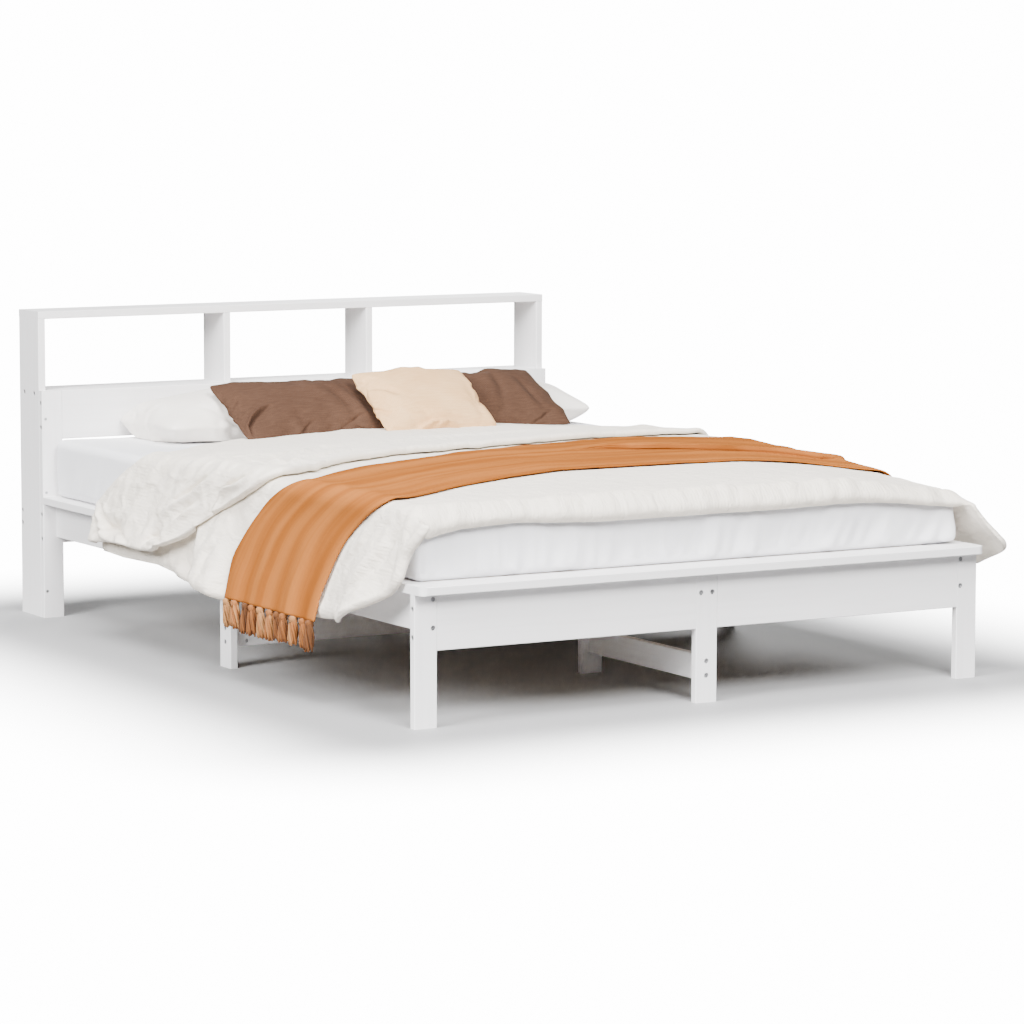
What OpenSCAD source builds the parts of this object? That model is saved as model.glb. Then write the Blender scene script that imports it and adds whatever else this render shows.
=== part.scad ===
// Bed frame for a mattress of 150 by 200 cm, in white painted pine, with a
// bookcase head, slats, and its bedding: mattress, duvet, throw and pillows.
// Millimetres. +X is to the right seen from the foot, +Y runs from foot to
// head, +Z is up. The origin is on the floor under the middle of the bed.

/* [Mattress] */
// Width of the mattress
mattress_w = 1500; // [1350:10:1650]
// Length of the mattress in its fitted sheet
mattress_l = 2010; // [1900:10:2110]
// Thickness of the mattress
mattress_h = 156; // [120:2:200]
// Rounding of the mattress edges
mattress_r = 26; // [15:1:40]

/* [Frame] */
// Ledge that shows beside the mattress, each side
ledge = 27.5; // [20:0.5:40]
// Thickness of every board
board_t = 20; // [18:0.5:24]
// Width of the leg, cap and stretcher planks
plank_w = 58; // [50:1:66]
// Height of the side rails and centre rails
rail_h = 90; // [80:1:110]
// Height of the rails' top edge over the floor
deck_z = 305; // [280:1:340]
// Eased corner along the boards' long edges
ease = 1.5; // [0.5:0.25:2.5]
// Gap between mattress and head posts
head_gap = 5; // [3:1:12]
// Distance from the foot legs' back to the mattress
foot_set = 20; // [12:1:26]

/* [Foot] */
// Height of the foot panel
foot_panel_h = 130; // [110:1:150]
// Depth of the foot cap, front to back
cap_d = 93; // [85:1:110]
// How far the foot cap stands out in front of the legs
cap_out = 33; // [20:1:40]
// Plan rounding of the foot cap's front corners
cap_r = 18; // [8:1:30]

/* [Head] */
// Height of the head over the floor
head_h = 818; // [760:1:900]
// Depth of the bookcase
case_d = 128; // [110:1:150]
// Height of the shelf's top face over the floor
shelf_z = 608; // [590:1:630]
// Height of the upper head panel
head_panel_h = 130; // [115:1:140]
// Height of the lower head panel
low_panel_h = 90; // [80:1:100]
// Height of the lower head panel's bottom edge
low_panel_z = 199.5; // [180:0.5:205]
// Distance between the dividers' centre planes
divider_pitch = 439; // [380:1:500]

/* [Supports] */
// Height of the stretchers' bottom edge over the floor
stretcher_z = 51; // [40:1:70]
// Height of the stretchers
stretcher_h = 60; // [54:1:70]
// Distance from the foot legs' back to the front quarter leg
quarter_l = 495; // [440:5:560]
// Distance between the centre rails' middle planes
twin_pitch = 31; // [28:1:36]
// Height of the slat ledgers
ledger_h = 30; // [25:1:40]
// Distance of the ledgers' ends from the rails' ends
ledger_in = 60; // [50:1:80]

/* [Slats] */
// Width of a slat
slat_w = 80; // [60:1:95]
// Play between a slat's end and the side cap
slat_play = 0.5; // [0.5:0.1:2]

/* [Fasteners] */
// Diameter of the bolts
bolt_d = 6; // [5:0.5:8]
// Diameter of the bolt heads
bolt_head_d = 11; // [9:0.5:13]
// Height of the bolt heads
bolt_head_h = 4; // [3:0.5:5]
// Depth of a bolt head under the surface
bolt_sink = 1; // [0.5:0.5:2]
// Distance between a pair of bolts in a 90 or 130 board
bolt_pitch = 65; // [55:1:68]
// Distance between a pair of bolts in a stretcher
small_pitch = 34; // [26:1:36]
// Diameter of the barrel nuts
nut_d = 10; // [9:0.5:12]
// Distance of a barrel nut from the end of its board
nut_in = 35; // [28:1:42]
// Diameter of the dowels
dowel_d = 8; // [6:1:10]
// Length of the dowels
dowel_l = 30; // [24:2:36]
// Diameter of the wood screws
screw_d = 4; // [3:0.5:5]
// Length of the wood screws
screw_l = 34; // [32:1:38]

/* [Duvet] */
// Thickness of the duvet along its edges
duvet_t = 14; // [12:1:20]
// Extra height of the duvet along the middle of the bed
duvet_crown = 4; // [2:1:10]
// Extra height where the duvet is turned back
flap_t = 8; // [6:1:14]
// Height of the left hem over the floor
hem_left_z = 205; // [195:1:250]
// Height of the right hem over the floor
hem_right_z = 262; // [240:1:290]
// How far the folds reach out past the frame, each side
drape_out = 84.5; // [76:0.5:100]
// Drop of the duvet's front hem under the mattress top
hem_drop = 42; // [36:1:60]

/* [Throw] */
// Thickness of the throw
throw_t = 7; // [4:0.5:9]
// Height of the throw's lengthwise ridges
ridge_h = 6; // [2:0.5:9]
// How far the throw's ends hang under the duvet's hem
throw_over = 7; // [4:1:12]
// Length of the tassels
tassel_l = 70; // [50:1:80]
// Diameter of a tassel at its foot
tassel_d = 18; // [12:1:24]
// Distance between tassels along the hem
tassel_pitch = 43; // [38:1:45]

/* [Pillows] */
// Width of the white pillows
pillow_w = 640; // [620:4:664]
// Depth of the white pillows
pillow_d = 340; // [300:2:350]
// Height of the white pillows
pillow_t = 138; // [110:2:150]
// Width of the brown cushions
brown_w = 452; // [420:2:470]
// Width of the beige cushion
beige_w = 336; // [300:2:360]
// Height of the three cushions along their face
cushion_h = 262; // [240:2:280]
// Thickness of the three cushions
cushion_t = 80; // [60:2:84]
// Lean of the brown cushions, in degrees from level
brown_lean = 27.5; // [26:0.5:31]
// Lean of the beige cushion, in degrees from level
beige_lean = 33; // [31:0.5:36]
// Sideways place of the pillows' meeting line
pillow_shift = 84; // [60:2:84]

/* [Hidden] */
$fn = 32;

// Frame: half widths and the planes along the bed
half_w = mattress_w / 2 + ledge;
rail_out = half_w - plank_w + board_t;
rail_in = half_w - plank_w;
rail_x = rail_in + board_t / 2;
side_l = foot_set + mattress_l + head_gap;
bed_l = cap_out + board_t + side_l + board_t + case_d;
foot_y = cap_out - bed_l / 2;
foot_in = foot_y + board_t;
cap_back = foot_y - cap_out + cap_d;
head_y = foot_in + side_l;
case_y = head_y + board_t;
back_y = case_y + case_d;
mid_y = foot_in + side_l / 2;
case_mid = case_y + case_d / 2;

// Heights
cap_z = deck_z + board_t;
rail_z = deck_z - rail_h;
panel_z = deck_z - foot_panel_h;
mattress_z = cap_z;
sheet_z = mattress_z + mattress_h;
case_top = head_h - board_t;
upper_z = shelf_z - head_panel_h;
rear_rail_z = low_panel_z + low_panel_h - plank_w;

// Supports under the slats
twin_x = twin_pitch / 2;
quarter_y = foot_in + quarter_l;
rear_quarter_y = head_y - board_t - quarter_l;
divider_x = divider_pitch / 2;

// Fastener sizes that follow from the others
hole_play = 0.5;
bore_d = bolt_d + 2 * hole_play;
sink_d = bolt_head_d + 2 * hole_play;
nut_hole_d = nut_d + hole_play;
bolt_tail = 8;
nut_l = 14;
dowel_play = 0.1;
screw_head_d = 2 * screw_d;
screw_play = 0.1;
post_screw_z = [71, 336, 533];
side_cap_dowels = 4;
cut = 1;

// Slats: one step apart between the foot cap and the head posts
slat_count = 12;
slat_step = (head_y - cap_back + slat_w) / (slat_count + 1);
slat_half = half_w - plank_w - slat_play;
function slat_y(i) = cap_back - slat_w + i * slat_step;

// Directions for holes and fasteners
left = [-1, 0, 0];
right = [1, 0, 0];
ahead = [0, 1, 0];
back = [0, -1, 0];
down = [0, 0, -1];
up = [0, 0, 1];

function pair(middle, pitch) = [middle - pitch / 2, middle + pitch / 2];
rail_pair = pair(rail_z + rail_h / 2, bolt_pitch);
panel_pair = pair(panel_z + foot_panel_h / 2, bolt_pitch);
upper_pair = pair(upper_z + head_panel_h / 2, bolt_pitch);
lower_pair = pair(low_panel_z + low_panel_h / 2, bolt_pitch);
stretcher_pair = pair(stretcher_z + stretcher_h / 2, small_pitch);
rear_rail_pair = pair(rear_rail_z + plank_w / 2, small_pitch);
twin_z = rail_z + rail_h / 2;

// Bolts: [point on the face, direction into the wood, distance to the nut, nut direction]
short_reach = board_t + nut_in;
long_reach = plank_w + nut_in;
rail_bolts = [for (s = [-1, 1], z = rail_pair)
    each [[[s * rail_x, foot_y, z], ahead, short_reach, [-s, 0, 0]],
          [[s * rail_x, case_y, z], back, short_reach, [-s, 0, 0]]]];
twin_foot_bolts = [for (s = [-1, 1]) [[s * twin_x, foot_y, twin_z], ahead, short_reach, [s, 0, 0]]];
twin_head_bolts = [for (s = [-1, 1]) [[s * twin_x, case_y, twin_z], back, long_reach, [s, 0, 0]]];
stretcher_bolts = [for (z = stretcher_pair)
    each [[[0, foot_y, z], ahead, short_reach, right],
          [[0, quarter_y + board_t, z], back, short_reach, right],
          [[0, rear_quarter_y - board_t, z], ahead, short_reach, right],
          [[0, head_y, z], back, short_reach, right]]];
cross_bolts = [for (s = [-1, 1], z = stretcher_pair)
    [[s * rail_out, mid_y, z], [-s, 0, 0], short_reach, back]];
rear_rail_bolts = [for (s = [-1, 1], z = rear_rail_pair)
    [[s * half_w, back_y - board_t / 2, z], [-s, 0, 0], short_reach, back]];
shelf_bolts = [for (s = [-1, 1], y = pair(case_mid, case_d / 2))
    [[s * half_w, y, shelf_z - board_t / 2], [-s, 0, 0], short_reach, down]];
foot_panel_bolts = [for (s = [-1, 1], z = panel_pair)
    [[s * half_w, foot_y + board_t / 2, z], [-s, 0, 0], long_reach, ahead]];
upper_bolts = [for (s = [-1, 1], z = upper_pair)
    [[s * half_w, head_y + board_t / 2, z], [-s, 0, 0], long_reach, ahead]];
lower_bolts = [for (s = [-1, 1], z = lower_pair)
    [[s * half_w, head_y + board_t / 2, z], [-s, 0, 0], long_reach, ahead]];
all_short = concat(rail_bolts, twin_foot_bolts, stretcher_bolts, cross_bolts, rear_rail_bolts,
    shelf_bolts);
all_long = concat(foot_panel_bolts, upper_bolts, lower_bolts, twin_head_bolts);

// Dowels: [middle point, direction]
top_dowels = [for (s = [-1, 1], x = [half_w - board_t / 2, divider_x], y = pair(case_mid, case_d / 2))
    [[s * x, y, case_top], up]];
shelf_dowels = [for (s = [-1, 1], y = pair(case_mid, case_d / 2)) [[s * divider_x, y, shelf_z], up]];
mid_leg_dowels = [for (s = [-1, 1], y = pair(mid_y, small_pitch)) [[s * rail_x, y, rail_z], up]];
twin_dowels = [for (s = [-1, 1], y = [quarter_y, mid_y + board_t / 2, rear_quarter_y - board_t])
    [[s * twin_x, y + board_t / 2, rail_z], up]];
panel_dowels = [for (s = [-1, 1], z = panel_pair) [[s * plank_w / 2, foot_y + board_t / 2, z], right]];
leg_cap_dowels = [for (s = [-1, 0, 1]) [[s * (half_w - plank_w / 2), foot_y + board_t / 2, deck_z], up]];
panel_cap_dowels = [for (s = [-1, 1]) [[s * half_w / 2, foot_y + board_t / 2, deck_z], up]];
side_cap_step = (head_y - cap_back) / side_cap_dowels;
side_cap_spots = [for (s = [-1, 1], i = [0 : side_cap_dowels - 1])
    [[s * rail_x, cap_back + (i + 0.5) * side_cap_step, deck_z], up]];
all_dowels = concat(top_dowels, shelf_dowels, mid_leg_dowels, twin_dowels, panel_dowels,
    leg_cap_dowels, panel_cap_dowels, side_cap_spots);

// Screws: [point on the face, direction]
post_screws = [for (s = [-1, 1], z = post_screw_z) [[s * (half_w - board_t / 2), head_y, z], ahead]];
slat_screws = [for (s = [-1, 1], i = [1 : slat_count])
    [[s * (rail_in - board_t / 2), slat_y(i) + slat_w / 2, cap_z], down]];
ledger_screw_z = deck_z - 0.65 * ledger_h;
ledger_spots = [for (s = [-1, 1], i = [1 : 2 : slat_count])
    [[s * (rail_in - board_t), slat_y(i) + (slat_w + slat_step) / 2, ledger_screw_z], [s, 0, 0]]];
mid_screws = [for (z = stretcher_pair) [[0, mid_y + board_t / 2 + board_t, z], back]];
all_screws = concat(post_screws, slat_screws, ledger_spots, mid_screws);

module orient(d) {
    turn = d[2] != 0 ? [d[2] > 0 ? 0 : 180, 0, 0]
         : d[0] != 0 ? [0, 90 * d[0], 0]
         : [-90 * d[1], 0, 0];
    rotate(turn) children();
}

module at(spot) {
    translate(spot[0]) orient(spot[1]) children();
}

// A board from corner lo to corner hi, its long edges eased, running along X (0), Y (1) or Z (2)
module board(lo, hi, along) {
    s = hi - lo;
    face = along == 0 ? [s[1], s[2]] : along == 1 ? [s[0], s[2]] : [s[0], s[1]];
    move = along == 1 ? [lo[0], hi[1], lo[2]] : lo;
    turn = along == 0 ? [90, 0, 90] : along == 1 ? [90, 0, 0] : [0, 0, 0];
    translate(move) rotate(turn) linear_extrude(s[along]) eased(face);
}

module eased(s) {
    polygon([[ease, 0], [s[0] - ease, 0], [s[0], ease], [s[0], s[1] - ease],
        [s[0] - ease, s[1]], [ease, s[1]], [0, s[1] - ease], [0, ease]]);
}

module bolt_hole(spot) {
    reach = spot[2] + bolt_tail + 2;
    at(spot) {
        translate([0, 0, -cut]) cylinder(d = sink_d, h = cut + bolt_sink + bolt_head_h);
        cylinder(d = bore_d, h = reach);
    }
    nut_at(spot) cylinder(d = nut_hole_d, h = board_t / 2 + cut);
    nut_at(spot) translate([0, 0, -nut_l / 2]) cylinder(d = nut_hole_d, h = nut_l / 2);
}

module nut_at(spot) {
    translate(spot[0] + spot[2] * spot[1]) orient(spot[3]) children();
}

module bolt(spot) {
    shank = spot[2] + bolt_tail - bolt_sink;
    at(spot) translate([0, 0, bolt_sink]) difference() {
        union() {
            cylinder(d = bolt_head_d, h = bolt_head_h);
            cylinder(d = bolt_d, h = shank);
        }
        translate([0, 0, -cut]) cylinder(d = bolt_d, h = cut + bolt_head_h / 2, $fn = 6);
    }
}

module dowel_hole(spot) {
    reach = dowel_l + 2 * hole_play;
    at(spot) translate([0, 0, -reach / 2]) cylinder(d = dowel_d + 2 * dowel_play, h = reach);
}

module screw_hole(spot) {
    at(spot) {
        translate([0, 0, -cut]) cylinder(d = screw_head_d + 2 * screw_play, h = cut);
        cylinder(d1 = screw_head_d + 2 * screw_play, d2 = screw_d + 2 * screw_play, h = screw_d);
        cylinder(d = screw_d + 2 * screw_play, h = screw_l + hole_play);
    }
}

module screw(spot) {
    at(spot) {
        cylinder(d1 = screw_head_d, d2 = screw_d, h = screw_d);
        cylinder(d = screw_d, h = screw_l);
    }
}

module drilled(bolts = [], dowels = [], screws = []) {
    difference() {
        children();
        for (b = bolts) bolt_hole(b);
        for (d = dowels) dowel_hole(d);
        for (s = screws) screw_hole(s);
    }
}

// Of a list of spots, those on one side of the bed
function side(spots, s) = [for (p = spots) if (p[0][0] * s > 0) p];
function at_y(spots, lo, hi) = [for (p = spots) if (p[0][1] > lo - 1 && p[0][1] < hi + 1) p];
function middle(spots) = [for (p = spots) if (abs(p[0][0]) < plank_w) p];

// Foot
module foot_leg(s) {
    x = s * (half_w - plank_w / 2);
    color("whitesmoke")
        drilled(concat(side(at_y(rail_bolts, foot_y, foot_y), s), side(foot_panel_bolts, s)),
            side(leg_cap_dowels, s))
            board([x - plank_w / 2, foot_y, 0], [x + plank_w / 2, foot_in, deck_z], 2);
}

module foot_leg_left() { foot_leg(-1); }
module foot_leg_right() { foot_leg(1); }

module foot_leg_centre() {
    color("whitesmoke")
        drilled(concat(twin_foot_bolts, at_y(stretcher_bolts, foot_y, foot_y)),
            concat(panel_dowels, middle(leg_cap_dowels)))
            board([-plank_w / 2, foot_y, 0], [plank_w / 2, foot_in, deck_z], 2);
}

module foot_panel(s) {
    xs = [s * plank_w / 2, s * (half_w - plank_w)];
    color("whitesmoke")
        drilled(side(foot_panel_bolts, s), concat(side(panel_dowels, s), side(panel_cap_dowels, s)))
            board([min(xs), foot_y, panel_z], [max(xs), foot_in, deck_z], 0);
}

module foot_panel_left() { foot_panel(-1); }
module foot_panel_right() { foot_panel(1); }

module foot_cap() {
    front = foot_y - cap_out;
    color("white") drilled([], concat(leg_cap_dowels, panel_cap_dowels)) intersection() {
        board([-half_w, front, deck_z], [half_w, cap_back, cap_z], 0);
        translate([0, 0, deck_z - cut]) linear_extrude(board_t + 2 * cut) {
            translate([-half_w + cap_r, front]) square([2 * (half_w - cap_r), cap_d]);
            translate([-half_w, front + cap_r]) square([2 * half_w, cap_d - cap_r]);
            for (x = [-half_w + cap_r, half_w - cap_r]) translate([x, front + cap_r]) circle(cap_r);
        }
    }
}

// Sides
module side_rail(s) {
    xs = [s * rail_in, s * rail_out];
    color("whitesmoke")
        drilled(side(rail_bolts, s), concat(side(mid_leg_dowels, s), side(side_cap_spots, s)),
            side(ledger_spots, s))
            board([min(xs), foot_in, rail_z], [max(xs), head_y, deck_z], 1);
}

module side_rail_left() { side_rail(-1); }
module side_rail_right() { side_rail(1); }

module side_cap(s) {
    xs = [s * rail_in, s * half_w];
    color("white") drilled([], side(side_cap_spots, s))
        board([min(xs), cap_back, deck_z], [max(xs), head_y, cap_z], 1);
}

module side_cap_left() { side_cap(-1); }
module side_cap_right() { side_cap(1); }

module slat_ledger(s) {
    xs = [s * rail_in, s * (rail_in - board_t)];
    color("burlywood") drilled([], [], concat(side(ledger_spots, s), side(slat_screws, s)))
        board([min(xs), foot_in + ledger_in, deck_z - ledger_h], [max(xs), head_y - ledger_in, deck_z], 1);
}

module slat_ledger_left() { slat_ledger(-1); }
module slat_ledger_right() { slat_ledger(1); }

// Legs and stretchers under the bed
module mid_leg(s) {
    xs = [s * rail_in, s * rail_out];
    color("whitesmoke") drilled(side(cross_bolts, s), side(mid_leg_dowels, s))
        board([min(xs), mid_y - plank_w / 2, 0], [max(xs), mid_y + plank_w / 2, rail_z], 2);
}

module mid_leg_left() { mid_leg(-1); }
module mid_leg_right() { mid_leg(1); }

module cross_stretcher() {
    color("whitesmoke") drilled(cross_bolts, [], mid_screws)
        board([-rail_in, mid_y - board_t / 2, stretcher_z],
            [rail_in, mid_y + board_t / 2, stretcher_z + stretcher_h], 0);
}

module centre_leg(y, bolts = [], screws = []) {
    color("burlywood") drilled(bolts, at_y(twin_dowels, y, y + board_t), screws)
        board([-plank_w / 2, y, 0], [plank_w / 2, y + board_t, rail_z], 2);
}

module centre_leg_front() {
    centre_leg(quarter_y, at_y(stretcher_bolts, quarter_y, quarter_y + board_t));
}

module centre_leg_mid() { centre_leg(mid_y + board_t / 2, [], mid_screws); }

module centre_leg_rear() {
    y = rear_quarter_y - board_t;
    centre_leg(y, at_y(stretcher_bolts, y, y + board_t));
}

module centre_leg_head() {
    color("whitesmoke")
        drilled(concat(twin_head_bolts, at_y(stretcher_bolts, head_y, head_y)))
            board([-plank_w / 2, head_y - board_t, 0], [plank_w / 2, head_y, deck_z], 2);
}

module long_stretcher(lo, hi) {
    color("whitesmoke") drilled(at_y(stretcher_bolts, lo - board_t, hi + board_t))
        board([-board_t / 2, lo, stretcher_z], [board_t / 2, hi, stretcher_z + stretcher_h], 1);
}

module long_stretcher_front() { long_stretcher(foot_in, quarter_y); }
module long_stretcher_rear() { long_stretcher(rear_quarter_y, head_y - board_t); }

module centre_rail(s) {
    color("burlywood") drilled(side(concat(twin_foot_bolts, twin_head_bolts), s), side(twin_dowels, s))
        board([s * twin_x - board_t / 2, foot_in, rail_z],
            [s * twin_x + board_t / 2, head_y - board_t, deck_z], 1);
}

module centre_rail_left() { centre_rail(-1); }
module centre_rail_right() { centre_rail(1); }

// Head
module head_post(s) {
    x = s * (half_w - plank_w / 2);
    color("whitesmoke")
        drilled(concat(side(at_y(rail_bolts, case_y, case_y), s), side(upper_bolts, s), side(lower_bolts, s)),
            [], side(post_screws, s))
            board([x - plank_w / 2, head_y, 0], [x + plank_w / 2, case_y, shelf_z], 2);
}

module head_post_left() { head_post(-1); }
module head_post_right() { head_post(1); }

module head_side(s) {
    xs = [s * half_w, s * (half_w - board_t)];
    color("whitesmoke")
        drilled(concat(side(rear_rail_bolts, s), side(shelf_bolts, s)), side(top_dowels, s),
            side(post_screws, s))
            board([min(xs), case_y, 0], [max(xs), back_y, case_top], 2);
}

module head_side_left() { head_side(-1); }
module head_side_right() { head_side(1); }

module head_panel_upper() {
    color("white") drilled(upper_bolts)
        board([-rail_in, head_y, upper_z], [rail_in, case_y, shelf_z], 0);
}

module head_panel_lower() {
    color("white") drilled(concat(lower_bolts, twin_head_bolts))
        board([-rail_in, head_y, low_panel_z], [rail_in, case_y, low_panel_z + low_panel_h], 0);
}

module head_rear_rail() {
    x = half_w - board_t;
    color("white") drilled(rear_rail_bolts)
        board([-x, back_y - board_t, rear_rail_z], [x, back_y, rear_rail_z + plank_w], 0);
}

module shelf() {
    x = half_w - board_t;
    color("white") drilled(shelf_bolts, shelf_dowels)
        board([-x, case_y, shelf_z - board_t], [x, back_y, shelf_z], 0);
}

module divider(s) {
    x = s * divider_x;
    color("whitesmoke") drilled([], concat(side(top_dowels, s), side(shelf_dowels, s)))
        board([x - board_t / 2, case_y, shelf_z], [x + board_t / 2, back_y, case_top], 2);
}

module divider_left() { divider(-1); }
module divider_right() { divider(1); }

module top_board() {
    color("white") drilled([], top_dowels)
        board([-half_w, case_y, case_top], [half_w, back_y, head_h], 0);
}

// Slats
module slat(i) {
    y = slat_y(i);
    color("burlywood") drilled([], [], at_y(slat_screws, y, y + slat_w))
        board([-slat_half, y, deck_z], [slat_half, y + slat_w, cap_z], 0);
}

module slat_01() { slat(1); }
module slat_02() { slat(2); }
module slat_03() { slat(3); }
module slat_04() { slat(4); }
module slat_05() { slat(5); }
module slat_06() { slat(6); }
module slat_07() { slat(7); }
module slat_08() { slat(8); }
module slat_09() { slat(9); }
module slat_10() { slat(10); }
module slat_11() { slat(11); }
module slat_12() { slat(12); }

// Fasteners
module short_bolts() { color("silver") for (b = all_short) bolt(b); }
module long_bolts() { color("silver") for (b = all_long) bolt(b); }

module barrel_nuts() {
    color("silver") for (b = concat(all_short, all_long)) difference() {
        nut_at(b) translate([0, 0, -nut_l / 2]) cylinder(d = nut_d, h = nut_l);
        at(b) translate([0, 0, b[2] - nut_d]) cylinder(d = bolt_d + screw_play, h = 2 * nut_d);
    }
}

module dowels() {
    color("tan") for (d = all_dowels) at(d) translate([0, 0, -dowel_l / 2]) cylinder(d = dowel_d, h = dowel_l);
}

module wood_screws() { color("silver") for (s = all_screws) screw(s); }

// Mattress in its fitted sheet
soft_play = 0.4;
bed_foot = foot_in + foot_set;
core_w = mattress_w / 2 - mattress_r;
core_z = sheet_z - mattress_r;

module rounded(w, h) {
    translate([-w / 2 + mattress_r, 0]) square([w - 2 * mattress_r, h]);
    translate([-w / 2, mattress_r]) square([w, h - 2 * mattress_r]);
    for (x = [-1, 1], y = [mattress_r, h - mattress_r])
        translate([x * (w / 2 - mattress_r), y]) circle(mattress_r);
}

module mattress() {
    color("ghostwhite") intersection() {
        translate([0, bed_foot, mattress_z]) linear_extrude(mattress_h) rounded(mattress_w, mattress_l);
        translate([0, bed_foot + mattress_l, mattress_z]) rotate([90, 0, 0])
            linear_extrude(mattress_l) rounded(mattress_w, mattress_h);
        translate([-mattress_w / 2, bed_foot + mattress_l / 2, mattress_z]) rotate([90, 0, 90])
            linear_extrude(mattress_w) rounded(mattress_l, mattress_h);
    }
}

// A closed soft solid from an outer and an inner grid of points, nu by nv steps
function skin_faces(nu, nv, o, out) = [for (j = [0 : nv - 1], i = [0 : nu - 1])
    let (a = o + j * (nu + 1) + i, c = a + nu + 1)
    each out ? [[a, c, a + 1], [a + 1, c, c + 1]] : [[a, a + 1, c], [a + 1, c + 1, c]]];

function rim_faces(t0, t1, b0, b1) = [[b0, t0, t1], [b0, t1, b1]];

module soft(outer, inner, nu, nv) {
    n = (nu + 1) * (nv + 1);
    row = nu + 1;
    polyhedron(concat(outer, inner), concat(
        skin_faces(nu, nv, 0, true),
        skin_faces(nu, nv, n, false),
        [for (i = [0 : nu - 1]) each rim_faces(i, i + 1, n + i, n + i + 1)],
        [for (i = [0 : nu - 1]) let (a = nv * row + i) each rim_faces(a + 1, a, n + a + 1, n + a)],
        [for (j = [0 : nv - 1]) let (a = j * row) each rim_faces(a + row, a, n + a + row, n + a)],
        [for (j = [0 : nv - 1]) let (a = j * row + nu) each rim_faces(a, a + row, n + a, n + a + row)]
    ));
}

// The cloth lies over the bed in 20 steps: 3 hanging, 3 round the edge, 8 on top, and back down
steps = 20;
fall = atan((ledge + 3) / (mattress_h - mattress_r));
reach_x = half_w + drape_out;
edge_top = core_z + mattress_r * sin(fall);

function rank(i) = min(i, steps - i);
function hand(i) = i < steps / 2 ? -1 : 1;
function edge_angle(k) = fall + (90 - fall) * (min(max(k, 3), 6) - 3) / 3;
function along(f) = bed_foot + f * mattress_l;
function part_of(y) = (y - bed_foot) / mattress_l;

// Height of the duvet's hem, its folds, and how much a fold moves a point out
left_rise = [[0, 107], [0.09, 0], [0.45, 0], [0.63, 32], [0.82, 38]];
right_rise = [[0, 33], [0.1, 0], [0.53, 0], [0.8, 10]];
function hem_z(s, f) = s < 0 ? hem_left_z + lookup(f, left_rise) : hem_right_z + lookup(f, right_rise);
function wave(f, lo, step) = f < lo ? 0 : pow(sin(180 * (f - lo) / step), 2);
function left_fold(f) = f < 0.12 ? 0.5 * pow(sin(180 * max(f, 0) / 0.12), 2) : wave(f, 0.432, 0.243);
function right_fold(f) = f < 0.12 ? pow(cos(90 * max(f, 0) / 0.12), 2) : 0.8 * wave(f, 0.529, 0.227);
function fold(s, f) = s < 0 ? left_fold(f) : right_fold(f);

// A point over the bed: step i, distance y along, lift off the mattress, hem height, front turn
function over(i, y, lift, hem, front = 1) =
    let (k = rank(i), s = hand(i), a = edge_angle(k), r = mattress_r + lift,
        drop = k < 3 ? (3 - k) / 3 * (edge_top - hem) : 0,
        low = k < 4 ? 1 : 1 - (1 - front) * sin(a),
        x = k > 6 ? core_w * (10 - k) / 4 : core_w + r * cos(a) + drop * tan(fall))
    [s * x, y, core_z + r * sin(a) * low - drop];

function crown(k) = k < 7 ? 0 : duvet_crown * (1 - pow((10 - k) / 4, 2));
function duvet_top(i) = duvet_t + crown(rank(i));
function duvet_low(i) = rank(i) == 4 || rank(i) == 5 ? 3 : rank(i) == 3 ? 1.5 : soft_play;

// Where the turned back edge and the head fold lie at each step, in parts of the mattress length
flap_line = [[0, 0.796], [1, 0.552], [2, 0.455], [3, 0.346], [6, 0.281], [7, 0.363], [8, 0.418],
    [9, 0.46], [10, 0.493], [12, 0.54], [14, 0.56], [17, 0.577], [20, 0.756]];
head_line = [[0, 0.815], [2, 0.776], [3, 0.726], [6, 0.703], [7, 0.8], [8, 0.808], [12, 0.808],
    [13, 0.79], [14, 0.711], [17, 0.726], [20, 0.808]];

// Rows of the duvet: 4 round the front edge, 6 near the foot, 5 to the flap, then the flap
near_rows = [0.035, 0.06, 0.09, 0.122, 0.155, 0.189];
front_turn = [0, 0, sin(45), 1];
duvet_rows = 24;

function duvet_part(i, j) =
    let (f = lookup(i, flap_line), h = lookup(i, head_line))
    j < 10 ? near_rows[j - 4]
    : j < 15 ? near_rows[5] + (j - 9) / 5 * (f - near_rows[5])
    : j < duvet_rows ? f + 0.002 + (h - f - 0.002) * (j - 15) / 8
    : h + 0.006;

function front_point(i, j, lift) =
    let (r = mattress_r + lift, turn = front_turn[j], tip = j == 0 ? 1 : 0,
        w = rank(i) < 4 ? 0 : sin(edge_angle(rank(i))),
        y = bed_foot + mattress_r - r * sqrt(1 - turn * turn) - tip * 2 * (1 - w),
        p = over(i, y, lift, hem_z(hand(i), part_of(y)), turn))
    [p[0], p[1], p[2] - tip * (hem_drop - mattress_r) * w];

function duvet_plain(i, j, lift) = j < 4 ? front_point(i, j, lift)
    : over(i, along(duvet_part(i, j)), lift, hem_z(hand(i), duvet_part(i, j)));

function duvet_lift(i, j) = (rank(i) == 0 ? 0.7 : 1) * (j == duvet_rows ? 0.45 : 1)
    * (duvet_top(i) * (j < 3 ? 0.7 : 1) + (j > 14 ? flap_t : 0));
function duvet_rest(i, j) = j == 2 ? 5 : max(duvet_low(i), j < 3 ? 1 : 0);

// The folds push the hanging cloth out, its outer face as far as the reach
function duvet_point(i, j, lift) =
    let (p = duvet_plain(i, j, lift), o = duvet_plain(i, j, duvet_lift(i, j)),
        w = rank(i) < 3 ? fold(hand(i), part_of(o[1])) * pow((3 - rank(i)) / 3, 2) : 0)
    [p[0] + hand(i) * w * (reach_x - abs(o[0])), p[1], p[2]];

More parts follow.
